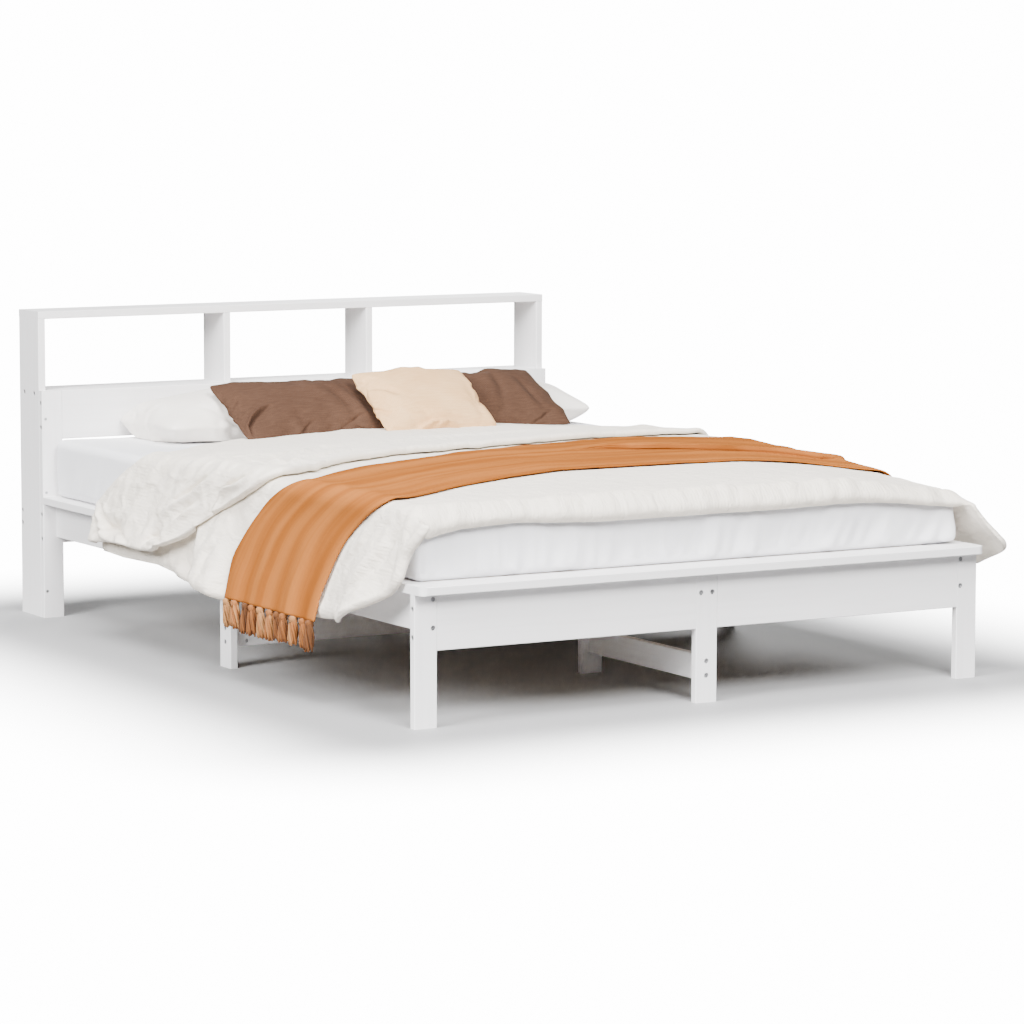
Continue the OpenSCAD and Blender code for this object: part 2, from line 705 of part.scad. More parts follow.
module duvet() {
    color("linen") soft(
        [for (j = [0 : duvet_rows], i = [0 : steps]) duvet_point(i, j, duvet_lift(i, j))],
        [for (j = [0 : duvet_rows], i = [0 : steps]) duvet_point(i, j, duvet_rest(i, j))],
        steps, duvet_rows);
}

// Throw: its edges at each step, in parts of the mattress length, and its ridges
throw_foot = [[0, 0.192], [1, 0.169], [2, 0.137], [3, 0.082], [6, 0.055], [7, 0.107], [8, 0.164],
    [9, 0.206], [10, 0.219], [17, 0.214], [20, 0.27]];
throw_head = [[0, 0.428], [1, 0.41], [2, 0.366], [3, 0.306], [6, 0.251], [7, 0.343], [8, 0.398],
    [9, 0.443], [10, 0.473], [12, 0.517], [14, 0.53], [17, 0.53], [20, 0.506]];
throw_rows = 8;
throw_play = 0.8;
ridges = [0, 0.4, 0, 1, 0.2, 0.7, 0, 0.5, 0];

function throw_hem(s) = (s < 0 ? hem_left_z : hem_right_z) - throw_over;
function throw_part(i, j) = lookup(i, throw_foot)
    + j / throw_rows * (lookup(i, throw_head) - lookup(i, throw_foot));
function throw_point(i, j, lift) =
    over(i, along(throw_part(i, j)), duvet_top(i) + throw_play + lift, throw_hem(hand(i)));

module throw() {
    color("sienna") soft(
        [for (j = [0 : throw_rows], i = [0 : steps]) throw_point(i, j, throw_t + ridge_h * ridges[j])],
        [for (j = [0 : throw_rows], i = [0 : steps]) throw_point(i, j, 0)],
        steps, throw_rows);
}

// Tassels hang from the two ends of the throw
tassel_count = 11;
tassel_play = 0.4;

module tassels() {
    color("peru") for (i = [0, steps], n = [0 : tassel_count - 1]) {
        half_pitch = (n - (tassel_count - 1) / 2) * tassel_pitch;
        y = (throw_point(i, 0, 0)[1] + throw_point(i, throw_rows, 0)[1]) / 2 + half_pitch;
        inner = over(i, y, duvet_top(i) + throw_play, throw_hem(hand(i)));
        translate([inner[0] + hand(i) * throw_t / 2, y, inner[2] - tassel_play]) tassel();
    }
}

module tassel() {
    neck = tassel_l / 7;
    rotate_extrude($fn = 16) polygon([[0, 0], [3, 0], [4.5, -neck / 2], [3.5, -neck],
        [tassel_d / 2 - 1, -tassel_l * 0.6], [tassel_d / 2, -tassel_l * 0.9], [5, -tassel_l], [0, -tassel_l]]);
}

// Pillows: crowned on both faces, with drawn-in sides and a seam all round
pillow_steps = 12;
seam = 4;
draw = 0.07;

function swell(u, v, lean_back) =
    let (t = pow((v + 1) / 2, lean_back), q = 2 * t - 1)
    pow(max(0, (1 - u * u) * (1 - q * q)), 0.42);

function pillow_point(u, v, w, d, h, lean_back) =
    let (m = swell(u, v, lean_back))
    [w / 2 * u * (1 - draw * (1 - v * v)), d / 2 * v * (1 - draw * (1 - u * u)),
        h > 0 ? seam / 2 + h * m : -seam / 2 + max(h, 1.3 * h * m)];

function tilted(p, a) = [p[0], p[1] * cos(a) - p[2] * sin(a), p[1] * sin(a) + p[2] * cos(a)];

function pillow_grid(w, d, h, lean_back, a) = let (n = pillow_steps)
    [for (j = [0 : n], i = [0 : n])
        tilted(pillow_point(2 * i / n - 1, 2 * j / n - 1, w, d, h, lean_back), a)];

// Middle x, y of the lowest edge, height it rests at, size, share under the seam, lean
module pillow(x, y, z, w, d, t, under, lean_back = 1, a = 0) {
    high = pillow_grid(w, d, t * (1 - under) - seam, lean_back, a);
    low = pillow_grid(w, d, -t * under, lean_back, a);
    foot = min([for (p = low) p[2]]);
    front = min([for (p = low) p[1]]);
    translate([x, y - front, z - foot + soft_play]) soft(high, low, pillow_steps, pillow_steps);
}

pillow_y = head_y - 2 - pillow_d;
flap_slope = [for (k = [10 : -1 : 6]) [core_w * (10 - k) / 4, crown(k)]];
function flap_top(x) = sheet_z + duvet_t + flap_t + lookup(max(x, 0), flap_slope);
// How far each cushion's lower edge lies in front of the pillows, and its middle across
brown_ahead = cushion_h * 0.49;
beige_ahead = brown_ahead + cushion_h * 0.38;
brown_aside = pillow_w * 0.413;
brown_left_x = pillow_shift - brown_aside;
brown_right_x = pillow_shift + brown_aside;
beige_x = pillow_shift + pillow_w * 0.065;

module pillow_left() {
    color("white") pillow(pillow_shift - pillow_w / 2 - 3, pillow_y, sheet_z, pillow_w, pillow_d,
        pillow_t, 0.33, 1.25);
}

module pillow_right() {
    color("white") pillow(pillow_shift + pillow_w / 2 + 3, pillow_y, sheet_z, pillow_w, pillow_d,
        pillow_t, 0.33, 1.25);
}

module cushion_brown_left() {
    color("sienna") pillow(brown_left_x, pillow_y - brown_ahead, flap_top(0), brown_w,
        cushion_h, cushion_t, 0.3, 1, brown_lean);
}

module cushion_brown_right() {
    color("sienna") pillow(brown_right_x, pillow_y - brown_ahead,
        flap_top(brown_right_x - brown_w / 4), brown_w, cushion_h, cushion_t, 0.3, 1, brown_lean);
}

module cushion_beige() {
    color("tan") pillow(beige_x, pillow_y - beige_ahead, flap_top(beige_x - beige_w / 4),
        beige_w, cushion_h, cushion_t, 0.3, 1, beige_lean);
}

foot_leg_left();
foot_leg_right();
foot_leg_centre();
foot_panel_left();
foot_panel_right();
foot_cap();
side_rail_left();
side_rail_right();
side_cap_left();
side_cap_right();
slat_ledger_left();
slat_ledger_right();
mid_leg_left();
mid_leg_right();
cross_stretcher();
centre_leg_front();
centre_leg_mid();
centre_leg_rear();
centre_leg_head();
long_stretcher_front();
long_stretcher_rear();
centre_rail_left();
centre_rail_right();
head_post_left();
head_post_right();
head_side_left();
head_side_right();
head_panel_upper();
head_panel_lower();
head_rear_rail();
shelf();
divider_left();
divider_right();
top_board();
slat_01();
slat_02();
slat_03();
slat_04();
slat_05();
slat_06();
slat_07();
slat_08();
slat_09();
slat_10();
slat_11();
slat_12();
short_bolts();
long_bolts();
barrel_nuts();
dowels();
wood_screws();
mattress();
duvet();
throw();
tassels();
pillow_left();
pillow_right();
cushion_brown_left();
cushion_brown_right();
cushion_beige();
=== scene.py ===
import math

import bpy
import numpy as np
from mathutils import Matrix, Vector


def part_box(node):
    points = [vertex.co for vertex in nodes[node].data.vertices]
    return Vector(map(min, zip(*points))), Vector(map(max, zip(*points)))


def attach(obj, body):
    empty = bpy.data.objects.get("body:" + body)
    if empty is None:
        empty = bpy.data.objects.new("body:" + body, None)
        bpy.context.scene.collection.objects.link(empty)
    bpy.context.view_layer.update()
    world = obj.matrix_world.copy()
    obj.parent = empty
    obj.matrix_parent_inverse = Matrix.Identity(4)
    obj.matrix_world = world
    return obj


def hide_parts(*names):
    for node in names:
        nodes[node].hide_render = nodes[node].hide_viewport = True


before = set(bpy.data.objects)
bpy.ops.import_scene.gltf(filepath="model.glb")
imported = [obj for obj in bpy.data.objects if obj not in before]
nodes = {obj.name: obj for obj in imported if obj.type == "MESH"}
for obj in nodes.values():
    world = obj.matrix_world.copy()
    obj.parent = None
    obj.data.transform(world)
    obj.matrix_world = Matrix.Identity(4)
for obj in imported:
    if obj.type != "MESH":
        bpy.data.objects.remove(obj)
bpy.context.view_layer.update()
scene = bpy.context.scene
print("frame loaded:", len(nodes), "nodes")

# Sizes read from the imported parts
mattressLow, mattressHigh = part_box("mattress")
mattressEdge = 0.026
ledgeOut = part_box("foot_cap")[1].x - mattressHigh.x
clothClear, clothDrop = 0.003, 0.130
bed = {
    "edge": mattressEdge,
    "core": mattressHigh.x - mattressEdge,
    "coreZ": mattressHigh.z - mattressEdge,
    "foot": mattressLow.y,
    "fall": math.atan((ledgeOut + clothClear) / clothDrop),
    "bend": 0.046,
}
bed["arc"] = bed["bend"] * (math.pi / 2 - bed["fall"])


# Smooth value noise on a lattice, from -1 to 1, for arrays of places
def ripple(u, v, seed, octaves=1, keep=0.5):
    total, weight = 0.0, 1.0
    for octave in range(octaves):
        table = np.random.default_rng(seed + 17 * octave).uniform(-1, 1, (64, 64))
        iu, iv = np.floor(u).astype(int), np.floor(v).astype(int)
        fu, fv = u - iu, v - iv
        fu, fv = fu * fu * (3 - 2 * fu), fv * fv * (3 - 2 * fv)
        a, b = table[iu % 64, iv % 64], table[(iu + 1) % 64, iv % 64]
        c, d = table[iu % 64, (iv + 1) % 64], table[(iu + 1) % 64, (iv + 1) % 64]
        total = total + weight * ((a * (1 - fu) + b * fu) * (1 - fv) + (c * (1 - fu) + d * fu) * fv)
        weight *= keep
        u, v = u * 2.03 + 5.1, v * 2.03 + 1.7
    return total


def smooth(x, low, high):
    t = np.clip((x - low) / (high - low), 0, 1)
    return t * t * (3 - 2 * t)


def bump(x, middle, width):
    return np.exp(-(((x - middle) / width) ** 2))


# A value at each place, straight between pairs of place and value
def between(x, pairs):
    keys = np.array(pairs)
    return np.interp(x, keys[:, 0], keys[:, 1])


# Rises from nought at an edge to one at the given width, round like a rolled hem
def roundEdge(distance, width):
    t = 1 - np.clip(distance / width, 0, 1)
    return np.sqrt(np.maximum(0, 1 - t * t))


sagDepth = 0.05


# The mattress's right foot corner is worn soft, so all that lies there sinks with it
def sagged(points):
    x, y, z = points[..., 0], points[..., 1], points[..., 2]
    along = np.clip((0.1 - y) / 1.145, 0, 1) ** 1.6
    depth = sagDepth * smooth(x, 0.38, 0.80) * along
    return np.stack([x, y, z - depth * np.clip((z - 0.33) / 0.15, 0, 1)], axis=-1)


# A place on the bed: s across the cloth from the middle, t along it from the foot's
# straight part, lift off the mattress. The cloth bends over the long edges and the foot.
def overBed(s, t, lift):
    side, reach = np.sign(s), np.abs(s)
    over = np.clip(reach - bed["core"], 0, bed["arc"])
    hang = np.maximum(0, reach - bed["core"] - bed["arc"])
    angle = math.pi / 2 - over / bed["bend"]
    flat = np.minimum(reach, bed["core"])
    radius = bed["edge"] + lift
    down = np.maximum(0, -t)
    turn = np.clip(down / bed["bend"], 0, math.pi / 2)
    drop = np.maximum(0, down - bed["bend"] * math.pi / 2)
    share = np.clip((np.sin(angle) - math.sin(bed["fall"])) / (1 - math.sin(bed["fall"])), 0, 1)
    front = bed["foot"] + bed["edge"]
    bentY = front - radius * np.sin(turn)
    y = np.where(t >= 0, front + t, share * bentY + (1 - share) * (front - down))
    x = flat + radius * np.cos(angle) * (reach > bed["core"]) + hang * math.sin(bed["fall"])
    z = bed["coreZ"] + radius * np.sin(angle) * (1 - (1 - np.cos(turn)) * share)
    z = z - drop * share - hang * math.cos(bed["fall"])
    return sagged(np.stack([side * x, y, z], axis=-1))


def newMesh(name, points, faces, uv=None):
    mesh = bpy.data.meshes.new(name)
    mesh.from_pydata([tuple(p) for p in points], [], [tuple(int(i) for i in f) for f in faces])
    mesh.update()
    if uv is not None:
        layer = mesh.uv_layers.new(name="cloth")
        loops = np.zeros(len(mesh.loops), np.int32)
        mesh.loops.foreach_get("vertex_index", loops)
        layer.data.foreach_set("uv", np.asarray(uv, np.float32)[loops].ravel())
    mesh.polygons.foreach_set("use_smooth", [True] * len(mesh.polygons))
    obj = bpy.data.objects.new(name, mesh)
    scene.collection.objects.link(obj)
    return obj


def gridQuads(rows, cols, start, flip):
    j, i = np.meshgrid(np.arange(rows - 1), np.arange(cols - 1), indexing="ij")
    a = start + j * cols + i
    quads = np.stack([a, a + 1, a + cols + 1, a + cols], axis=-1).reshape(-1, 4)
    return quads[:, ::-1] if flip else quads


# A closed cloth from an outer and an inner grid of points, joined by a middle line at its rim
def clothSolid(name, outer, inner, uv):
    rows, cols = outer.shape[:2]
    count = rows * cols
    faces = [gridQuads(rows, cols, 0, False), gridQuads(rows, cols, count, True)]
    ring = list(range(cols))
    ring += [j * cols + cols - 1 for j in range(1, rows)]
    ring += [(rows - 1) * cols + i for i in range(cols - 2, -1, -1)]
    ring += [j * cols for j in range(rows - 2, 0, -1)]
    ring = np.array(ring)
    after = np.roll(ring, -1)
    faces.append(np.stack([ring, ring + count, after + count, after], axis=-1))
    points = np.concatenate([outer.reshape(-1, 3), inner.reshape(-1, 3)])
    flatUv = uv.reshape(-1, 2)
    return newMesh(name, points, np.concatenate(faces), np.concatenate([flatUv, flatUv]))


def pickAlone(obj):
    bpy.ops.object.select_all(action="DESELECT")
    bpy.context.view_layer.objects.active = obj
    obj.select_set(True)


# Turns all faces outwards, after closing seams narrower than the given gap
def faceOut(obj, gap=0.0):
    pickAlone(obj)
    bpy.ops.object.mode_set(mode="EDIT")
    bpy.ops.mesh.select_all(action="SELECT")
    if gap:
        bpy.ops.mesh.remove_doubles(threshold=gap)
    bpy.ops.mesh.normals_make_consistent(inside=False)
    bpy.ops.object.mode_set(mode="OBJECT")
    obj.select_set(False)


def onBed(obj, slot, *stands):
    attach(obj, "root")
    if stands:
        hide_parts(*stands)
    return obj


# Shader maths: a socket that can be added, multiplied and mixed
class Wire:
    def __init__(self, shader, socket):
        self.shader, self.socket = shader, socket

    def math(self, kind, *others):
        return self.shader.node("ShaderNodeMath", {"operation": kind}, dict(enumerate([self, *others])))[0]

    def __add__(self, other):
        return self.math("ADD", other)

    def __sub__(self, other):
        return self.math("SUBTRACT", other)

    def __mul__(self, other):
        return self.math("MULTIPLY", other)

    def ramp(self, low, high, start=0.0, end=1.0):
        values = {0: self, 1: low, 2: high, 3: start, 4: end}
        return self.shader.node("ShaderNodeMapRange", {"interpolation_type": "SMOOTHSTEP"}, values)[0]

    def mix(self, first, second):
        made = self.shader.node("ShaderNodeMix", {"data_type": "RGBA"}, {0: self, 6: first, 7: second})
        return made[2]


class Shader:
    def __init__(self, name):
        self.material = bpy.data.materials.new(name)
        self.material.use_nodes = True
        self.tree = self.material.node_tree
        self.tree.nodes.clear()
        self.surface = self.tree.nodes.new("ShaderNodeBsdfPrincipled")
        output = self.tree.nodes.new("ShaderNodeOutputMaterial")
        self.tree.links.new(self.surface.outputs[0], output.inputs[0])

    def put(self, socket, value):
        if isinstance(value, Wire):
            self.tree.links.new(value.socket, socket)
        elif isinstance(value, tuple) and len(value) == 3 and socket.type == "RGBA":
            socket.default_value = (*value, 1)
        else:
            socket.default_value = value

    def node(self, kind, settings=None, inputs=None):
        made = self.tree.nodes.new(kind)
        for key, value in (settings or {}).items():
            setattr(made, key, value)
        for key, value in (inputs or {}).items():
            self.put(made.inputs[key], value)
        return [Wire(self, s) for s in made.outputs]

    def place(self, scale, turn=(0, 0, 0), kind="Object"):
        source = self.tree.nodes.new("ShaderNodeTexCoord")
        values = {"Vector": Wire(self, source.outputs[kind]), "Scale": scale, "Rotation": turn}
        return self.node("ShaderNodeMapping", {}, values)[0]

    # Each board has its own random stretch of grain
    def moved(self, place):
        chance = Wire(self, self.tree.nodes.new("ShaderNodeObjectInfo").outputs["Random"])
        strides = {0: chance * 37.0, 1: chance * 53.0, 2: chance * 71.0}
        far = self.node("ShaderNodeCombineXYZ", {}, strides)[0]
        return self.node("ShaderNodeVectorMath", {"operation": "ADD"}, {0: place, 1: far})[0]

    def noise(self, place, scale, detail=2.0, rough=0.5, twist=0.0):
        values = {"Vector": place, "Scale": scale, "Detail": detail}
        values.update({"Roughness": rough, "Distortion": twist})
        return self.node("ShaderNodeTexNoise", {}, values)[0]

    def waves(self, place, scale, twist=0.0, way="X", detail=0.0):
        values = {"Vector": place, "Scale": scale, "Distortion": twist, "Detail": detail}
        return self.node("ShaderNodeTexWave", {"bands_direction": way}, values)[1]

    def finish(self, colour, rough, height=None, reach=0.001, strength=1.0, **fixed):
        self.put(self.surface.inputs["Base Color"], colour)
        self.put(self.surface.inputs["Roughness"], rough)
        for name, value in fixed.items():
            self.put(self.surface.inputs[name.replace("_", " ")], value)
        if height is not None:
            values = {"Strength": strength, "Distance": reach, "Height": height}
            self.put(self.surface.inputs["Normal"], self.node("ShaderNodeBump", {}, values)[0])
        return self.material


# Wood: painted pine whose grain runs along the board, bare pine under the mattress, beech dowels
def woodMaterial(name, along, tones, rough, depth):
    shader = Shader(name)
    stretch = [1.0, 1.0, 1.0]
    stretch[along] = 0.045
    place = shader.moved(shader.place(tuple(stretch)))
    grain = shader.noise(place, 62.0, 4.0, 0.62, 0.35)
    rings = shader.noise(place, 11.0, 2.0, 0.5, 1.2)
    fine = shader.noise(place, 260.0, 3.0, 0.6)
    bands = (rings * 9.0).math("SINE").ramp(-0.4, 1.0)
    streak = grain.ramp(0.42, 0.72) * 0.6 + bands * 0.4
    colour = (streak * 0.8 + fine * 0.2).mix(tones["pale"], tones["dark"])
    gloss = streak.ramp(0.0, 1.0, rough - 0.04, rough + 0.08)
    height = grain * 0.5 + bands * 0.25 + fine * 0.25
    return shader.finish(colour, gloss, height, depth, 0.5, Specular_IOR_Level=0.35)


paint = {"pale": (0.855, 0.84, 0.842), "dark": (0.785, 0.769, 0.772)}
pine = {"pale": (0.74, 0.58, 0.38), "dark": (0.56, 0.38, 0.2)}
dowelTones = {"pale": (0.6, 0.42, 0.25), "dark": (0.45, 0.28, 0.15)}
grainDepth = 0.0006
whiteWood = [woodMaterial("paintedPine" + "XYZ"[a], a, paint, 0.5, grainDepth) for a in range(3)]
barePine = [woodMaterial("barePine" + "XYZ"[a], a, pine, 0.6, grainDepth) for a in range(3)]
beech = woodMaterial("beech", 2, dowelTones, 0.55, grainDepth / 2)


def steelMaterial():
    shader = Shader("zincSteel")
    speck = shader.noise(shader.place((1, 1, 1)), 900.0, 3.0, 0.6)
    patch = shader.noise(shader.place((1, 1, 1)), 120.0, 2.0)
    colour = patch.mix((0.42, 0.42, 0.43), (0.55, 0.55, 0.56))
    return shader.finish(colour, speck.ramp(0.2, 0.8, 0.28, 0.48), speck, 0.0001, 0.4, Metallic=1.0)


steel = steelMaterial()
fasteners = ["short_bolts", "long_bolts", "barrel_nuts", "wood_screws"]
bareNodes = ["centre_rail_left", "centre_rail_right"]
softNodes = ["mattress", "duvet", "throw", "tassels", "pillow_left", "pillow_right"]
softNodes += ["cushion_brown_left", "cushion_brown_right", "cushion_beige"]
for name, obj in nodes.items():
    if name in softNodes:
        continue
    low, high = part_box(name)
    along = int(np.argmax(np.array(high - low)))
    if name in fasteners:
        chosen = steel
    elif name == "dowels":
        chosen = beech
    elif name.startswith(("slat_0", "slat_1")) or name in bareNodes:
        chosen = barePine[along]
    else:
        chosen = whiteWood[along]
    obj.data.materials.clear()
    obj.data.materials.append(chosen)
print("wood and steel done")


# Cloth: woven cotton and linen. The cloth map holds metres across and along the piece.
def ribbedCotton(name, colour, shade):
    shader = Shader(name)
    cloth = shader.place((1, 1, 1), kind="UV")
    ribs = shader.waves(cloth, 36.0, 0.5, "X", 1.0) * shader.noise(cloth, 7.0, 2.0).ramp(0.42, 0.62)
    bands = shader.waves(cloth, 6.5, 1.6, "Y", 1.0)
    crinkle = shader.noise(shader.place((1.0, 0.5, 1.0), kind="UV"), 42.0, 4.0, 0.6, 0.5)
    weave = shader.noise(cloth, 900.0, 2.0)
    tone = (ribs * 0.1 + bands * 0.2 + crinkle * 0.7).mix(colour, shade)
    height = ribs * 0.035 + bands * 0.1 + crinkle * 0.8 + weave * 0.06
    return shader.finish(tone, 0.92, height, 0.010, 0.8, Sheen_Weight=0.2, Specular_IOR_Level=0.15)


def plainCloth(name, colour, shade, thread, reach, slub=0.3, sheen=0.2):
    shader = Shader(name)
    warp = shader.waves(shader.place((1, 1, 1)), thread / 6.28, 0.8, "X", 1.0)
    weft = shader.waves(shader.place((1, 1, 1)), thread / 6.28, 0.8, "Y", 1.0)
    slubs = shader.noise(shader.place((1.0, 9.0, 9.0)), 26.0, 3.0, 0.6)
    cloud = shader.noise(shader.place((1, 1, 1)), 9.0, 2.0)
    tone = (slubs * slub + cloud * (1 - slub)).ramp(0.3, 0.7).mix(colour, shade)
    height = warp * 0.35 + weft * 0.35 + slubs * 0.3
    return shader.finish(tone, 0.95, height, reach, 0.5, Sheen_Weight=sheen, Specular_IOR_Level=0.06)


def stripedCloth(name):
    shader = Shader(name)
    cloth = shader.place((1, 1, 1), kind="UV")
    stripes = shader.noise(shader.place((0.05, 1.0, 1.0), kind="UV"), 15.0, 1.5, 0.45)
    fine = shader.noise(shader.place((0.03, 1.0, 1.0), kind="UV"), 110.0, 2.0, 0.5)
    weave = shader.waves(cloth, 120.0, 1.2, "X", 1.0)
    cross = shader.waves(cloth, 120.0, 1.2, "Y", 1.0)
    rust, darkRust = (0.335, 0.119, 0.0275), (0.240, 0.075, 0.0142)
    tone = (stripes * 0.85 + fine * 0.15).ramp(0.36, 0.64).mix(rust, darkRust)
    height = weave * 0.3 + cross * 0.3 + stripes * 0.4
    return shader.finish(tone, 1.0, height, 0.0012, 0.5, Sheen_Weight=0.0, Specular_IOR_Level=0.0)


def yarnMaterial():
    shader = Shader("fringeYarn")
    tone = shader.node("ShaderNodeAttribute", {"attribute_name": "tone"})[2]
    ply = shader.waves(shader.place((1, 1, 1), (0.7, 0.3, 0)), 260.0, 1.5, "Z")
    first = tone.ramp(0.0, 0.5).mix((0.12, 0.048, 0.019), (0.34, 0.125, 0.038))
    colour = tone.ramp(0.5, 1.0).mix(first, (0.44, 0.22, 0.09))
    return shader.finish(colour, 0.95, ply, 0.001, 0.7, Sheen_Weight=0.05, Specular_IOR_Level=0.05)


duvetCotton = ribbedCotton("duvetCotton", (0.875, 0.81, 0.715), (0.78, 0.71, 0.61))
sheetCotton = plainCloth("sheetCotton", (0.86, 0.86, 0.885), (0.82, 0.82, 0.845), 900.0, 0.0004)
pillowCotton = plainCloth("pillowCotton", (0.89, 0.845, 0.785), (0.84, 0.79, 0.725), 800.0, 0.0005)
linenWeave = {"thread": 420.0, "reach": 0.0014}
brown, darkBrown = (0.076, 0.0410, 0.0266), (0.057, 0.0304, 0.0198)
beige, darkBeige = (0.72, 0.46, 0.235), (0.63, 0.37, 0.17)
brownLinen = plainCloth("brownLinen", brown, darkBrown, **linenWeave, slub=0.6, sheen=0.0)
beigeLinen = plainCloth("beigeLinen", beige, darkBeige, **linenWeave, slub=0.5, sheen=0.03)
throwCloth = stripedCloth("throwCloth")
fringeYarn = yarnMaterial()
print("cloth materials done")


# A softly bent line through pairs of places, read at each s
def edgeLine(s, pairs):
    keys = np.array(pairs)
    fine = np.linspace(keys[0, 0], keys[-1, 0], 400)
    values = np.interp(fine, keys[:, 0], keys[:, 1])
    kernel = np.hanning(17)
    padded = np.concatenate([np.full(8, values[0]), values, np.full(8, values[-1])])
    return np.interp(s, fine, np.convolve(padded, kernel / kernel.sum(), "valid"))


# Edges of the duvet: metres across from the middle, and distance from the mattress foot.
# Points seen in the photograph were projected onto the bed by a helper script. The pairs
# started from its results: some are unchanged, the others were set by hand.
flapEdge = [
    (-1.02, 1.27), (-0.995, 1.22), (-0.968, 1.13), (-0.94, 1.062), (-0.892, 0.99),
    (-0.844, 0.894), (-0.788, 0.75), (-0.744, 0.69), (-0.70, 0.705), (-0.664, 0.738),
    (-0.52, 0.855), (-0.408, 0.915), (-0.244, 0.985), (-0.1, 1.02), (0.1, 1.06),
    (0.43, 1.12), (0.724, 1.14), (0.80, 1.16), (0.90, 1.25), (0.99, 1.42),
]
headEdge = [
    (-1.04, 1.575), (-1.008, 1.59), (-0.95, 1.618), (-0.896, 1.615), (-0.82, 1.514),
    (-0.756, 1.40), (-0.70, 1.41), (-0.62, 1.47), (-0.52, 1.56), (-0.40, 1.61),
    (-0.2, 1.63), (0.35, 1.63), (0.56, 1.60), (0.66, 1.50), (0.73, 1.44),
    (0.80, 1.46), (0.89, 1.58), (0.96, 1.62), (1.04, 1.63),
]
footEdge = [
    (-1.08, 0.20), (-1.045, 0.168), (-1.0, 0.09), (-0.96, 0.01), (-0.92, -0.035),
    (-0.864, -0.04), (-0.84, -0.066), (-0.80, -0.10), (-0.76, -0.11), (-0.72, -0.10),
    (-0.66, -0.085), (-0.50, -0.078), (-0.388, -0.084), (-0.28, -0.088), (0.18, -0.088),
    (0.436, -0.084), (0.564, -0.076), (0.70, -0.072), (0.80, -0.074), (0.86, -0.082),
    (0.92, -0.098), (0.95, -0.098), (0.97, -0.06), (0.985, 0.0), (1.01, 0.05),
]
print("edge lines done")


creaseDepth = {"end": 0.0105, "side": 0.005, "top": 0.0012}
sheetInset = 0.0028


# Mattress in its fitted sheet: a rounded block with pulled creases down its faces
def makeMattress():
    half = (mattressHigh - mattressLow) / 2
    middle = (mattressHigh + mattressLow) / 2
    counts = (200, 180, 24)
    points, faces = [], []
    for axis in range(3):
        a, b = [k for k in range(3) if k != axis]
        for side in (-1, 1):
            u, v = np.meshgrid(np.linspace(-1, 1, counts[a]), np.linspace(-1, 1, counts[b]))
            block = np.zeros((*u.shape, 3))
            block[..., a] = np.sin(u * math.pi / 2) * 0.12 + u * 0.88
            block[..., b] = np.sin(v * math.pi / 2) * 0.12 + v * 0.88
            block[..., axis] = side
            start = sum(len(p) for p in points)
            points.append(block.reshape(-1, 3))
            faces.append(gridQuads(counts[b], counts[a], start, (side > 0) == (axis == 1)))
    p = np.concatenate(points) * np.array(half)
    inner = np.clip(p, -np.array(half) + bed["edge"], np.array(half) - bed["edge"])
    away = p - inner
    length = np.linalg.norm(away, axis=1, keepdims=True)
    away = away / np.maximum(length, 1e-9)
    p = inner + away * bed["edge"]
    drape = np.abs(away[:, 1]) * smooth(-p[:, 2], -0.06, 0.07)
    slant = p[:, 0] * 20 - p[:, 2] * 9 * smooth(p[:, 0], -0.3, 0.5)
    pulled = ripple(slant, p[:, 2] * 3.0, 3, 3) * drape * creaseDepth["end"]
    drapeSide = np.abs(away[:, 0]) * smooth(-p[:, 2], -0.06, 0.07)
    pulled += ripple(p[:, 1] * 14 + p[:, 2] * 7, p[:, 2] * 3.0, 5, 3) * drapeSide * creaseDepth["side"]
    pulled += ripple(p[:, 0] * 7, p[:, 1] * 7, 9, 2) * creaseDepth["top"] * np.maximum(0, away[:, 2])
    p = p + away * (pulled - sheetInset)[:, None] * (away[:, 2] > -0.5)[:, None]
    obj = newMesh("mattressSheet", sagged(p + np.array(middle)), np.concatenate(faces))
    faceOut(obj, gap=0.0002)
    obj.data.materials.append(sheetCotton)
    onBed(obj, "sheet_cotton", "mattress")


makeMattress()
print("mattress done")


# Height of a crease along a line of places on the cloth: a groove with a low ridge beside it
def crease(s, t, line, width, depth):
    nearest = np.full(np.shape(s), 9.0)
    along = np.zeros(np.shape(s))
    whole = len(line) - 1
    for k, ((s0, t0), (s1, t1)) in enumerate(zip(line, line[1:])):
        length = math.hypot(s1 - s0, t1 - t0)
        share = np.clip(((s - s0) * (s1 - s0) + (t - t0) * (t1 - t0)) / length**2, 0, 1)
        away = ((s - s0) * (t1 - t0) - (t - t0) * (s1 - s0)) / length
        far = np.hypot(s - s0 - share * (s1 - s0), t - t0 - share * (t1 - t0))
        closer = far < np.abs(nearest)
        nearest = np.where(closer, far * np.where(away < 0, -1, 1), nearest)
        along = np.where(closer, (k + share) / whole, along)
    taper = np.sin(math.pi * np.clip(along * 0.86 + 0.07, 0, 1))
    return depth * taper * (0.8 * bump(nearest, 2.1 * width, 1.3 * width) - bump(nearest, 0, width))


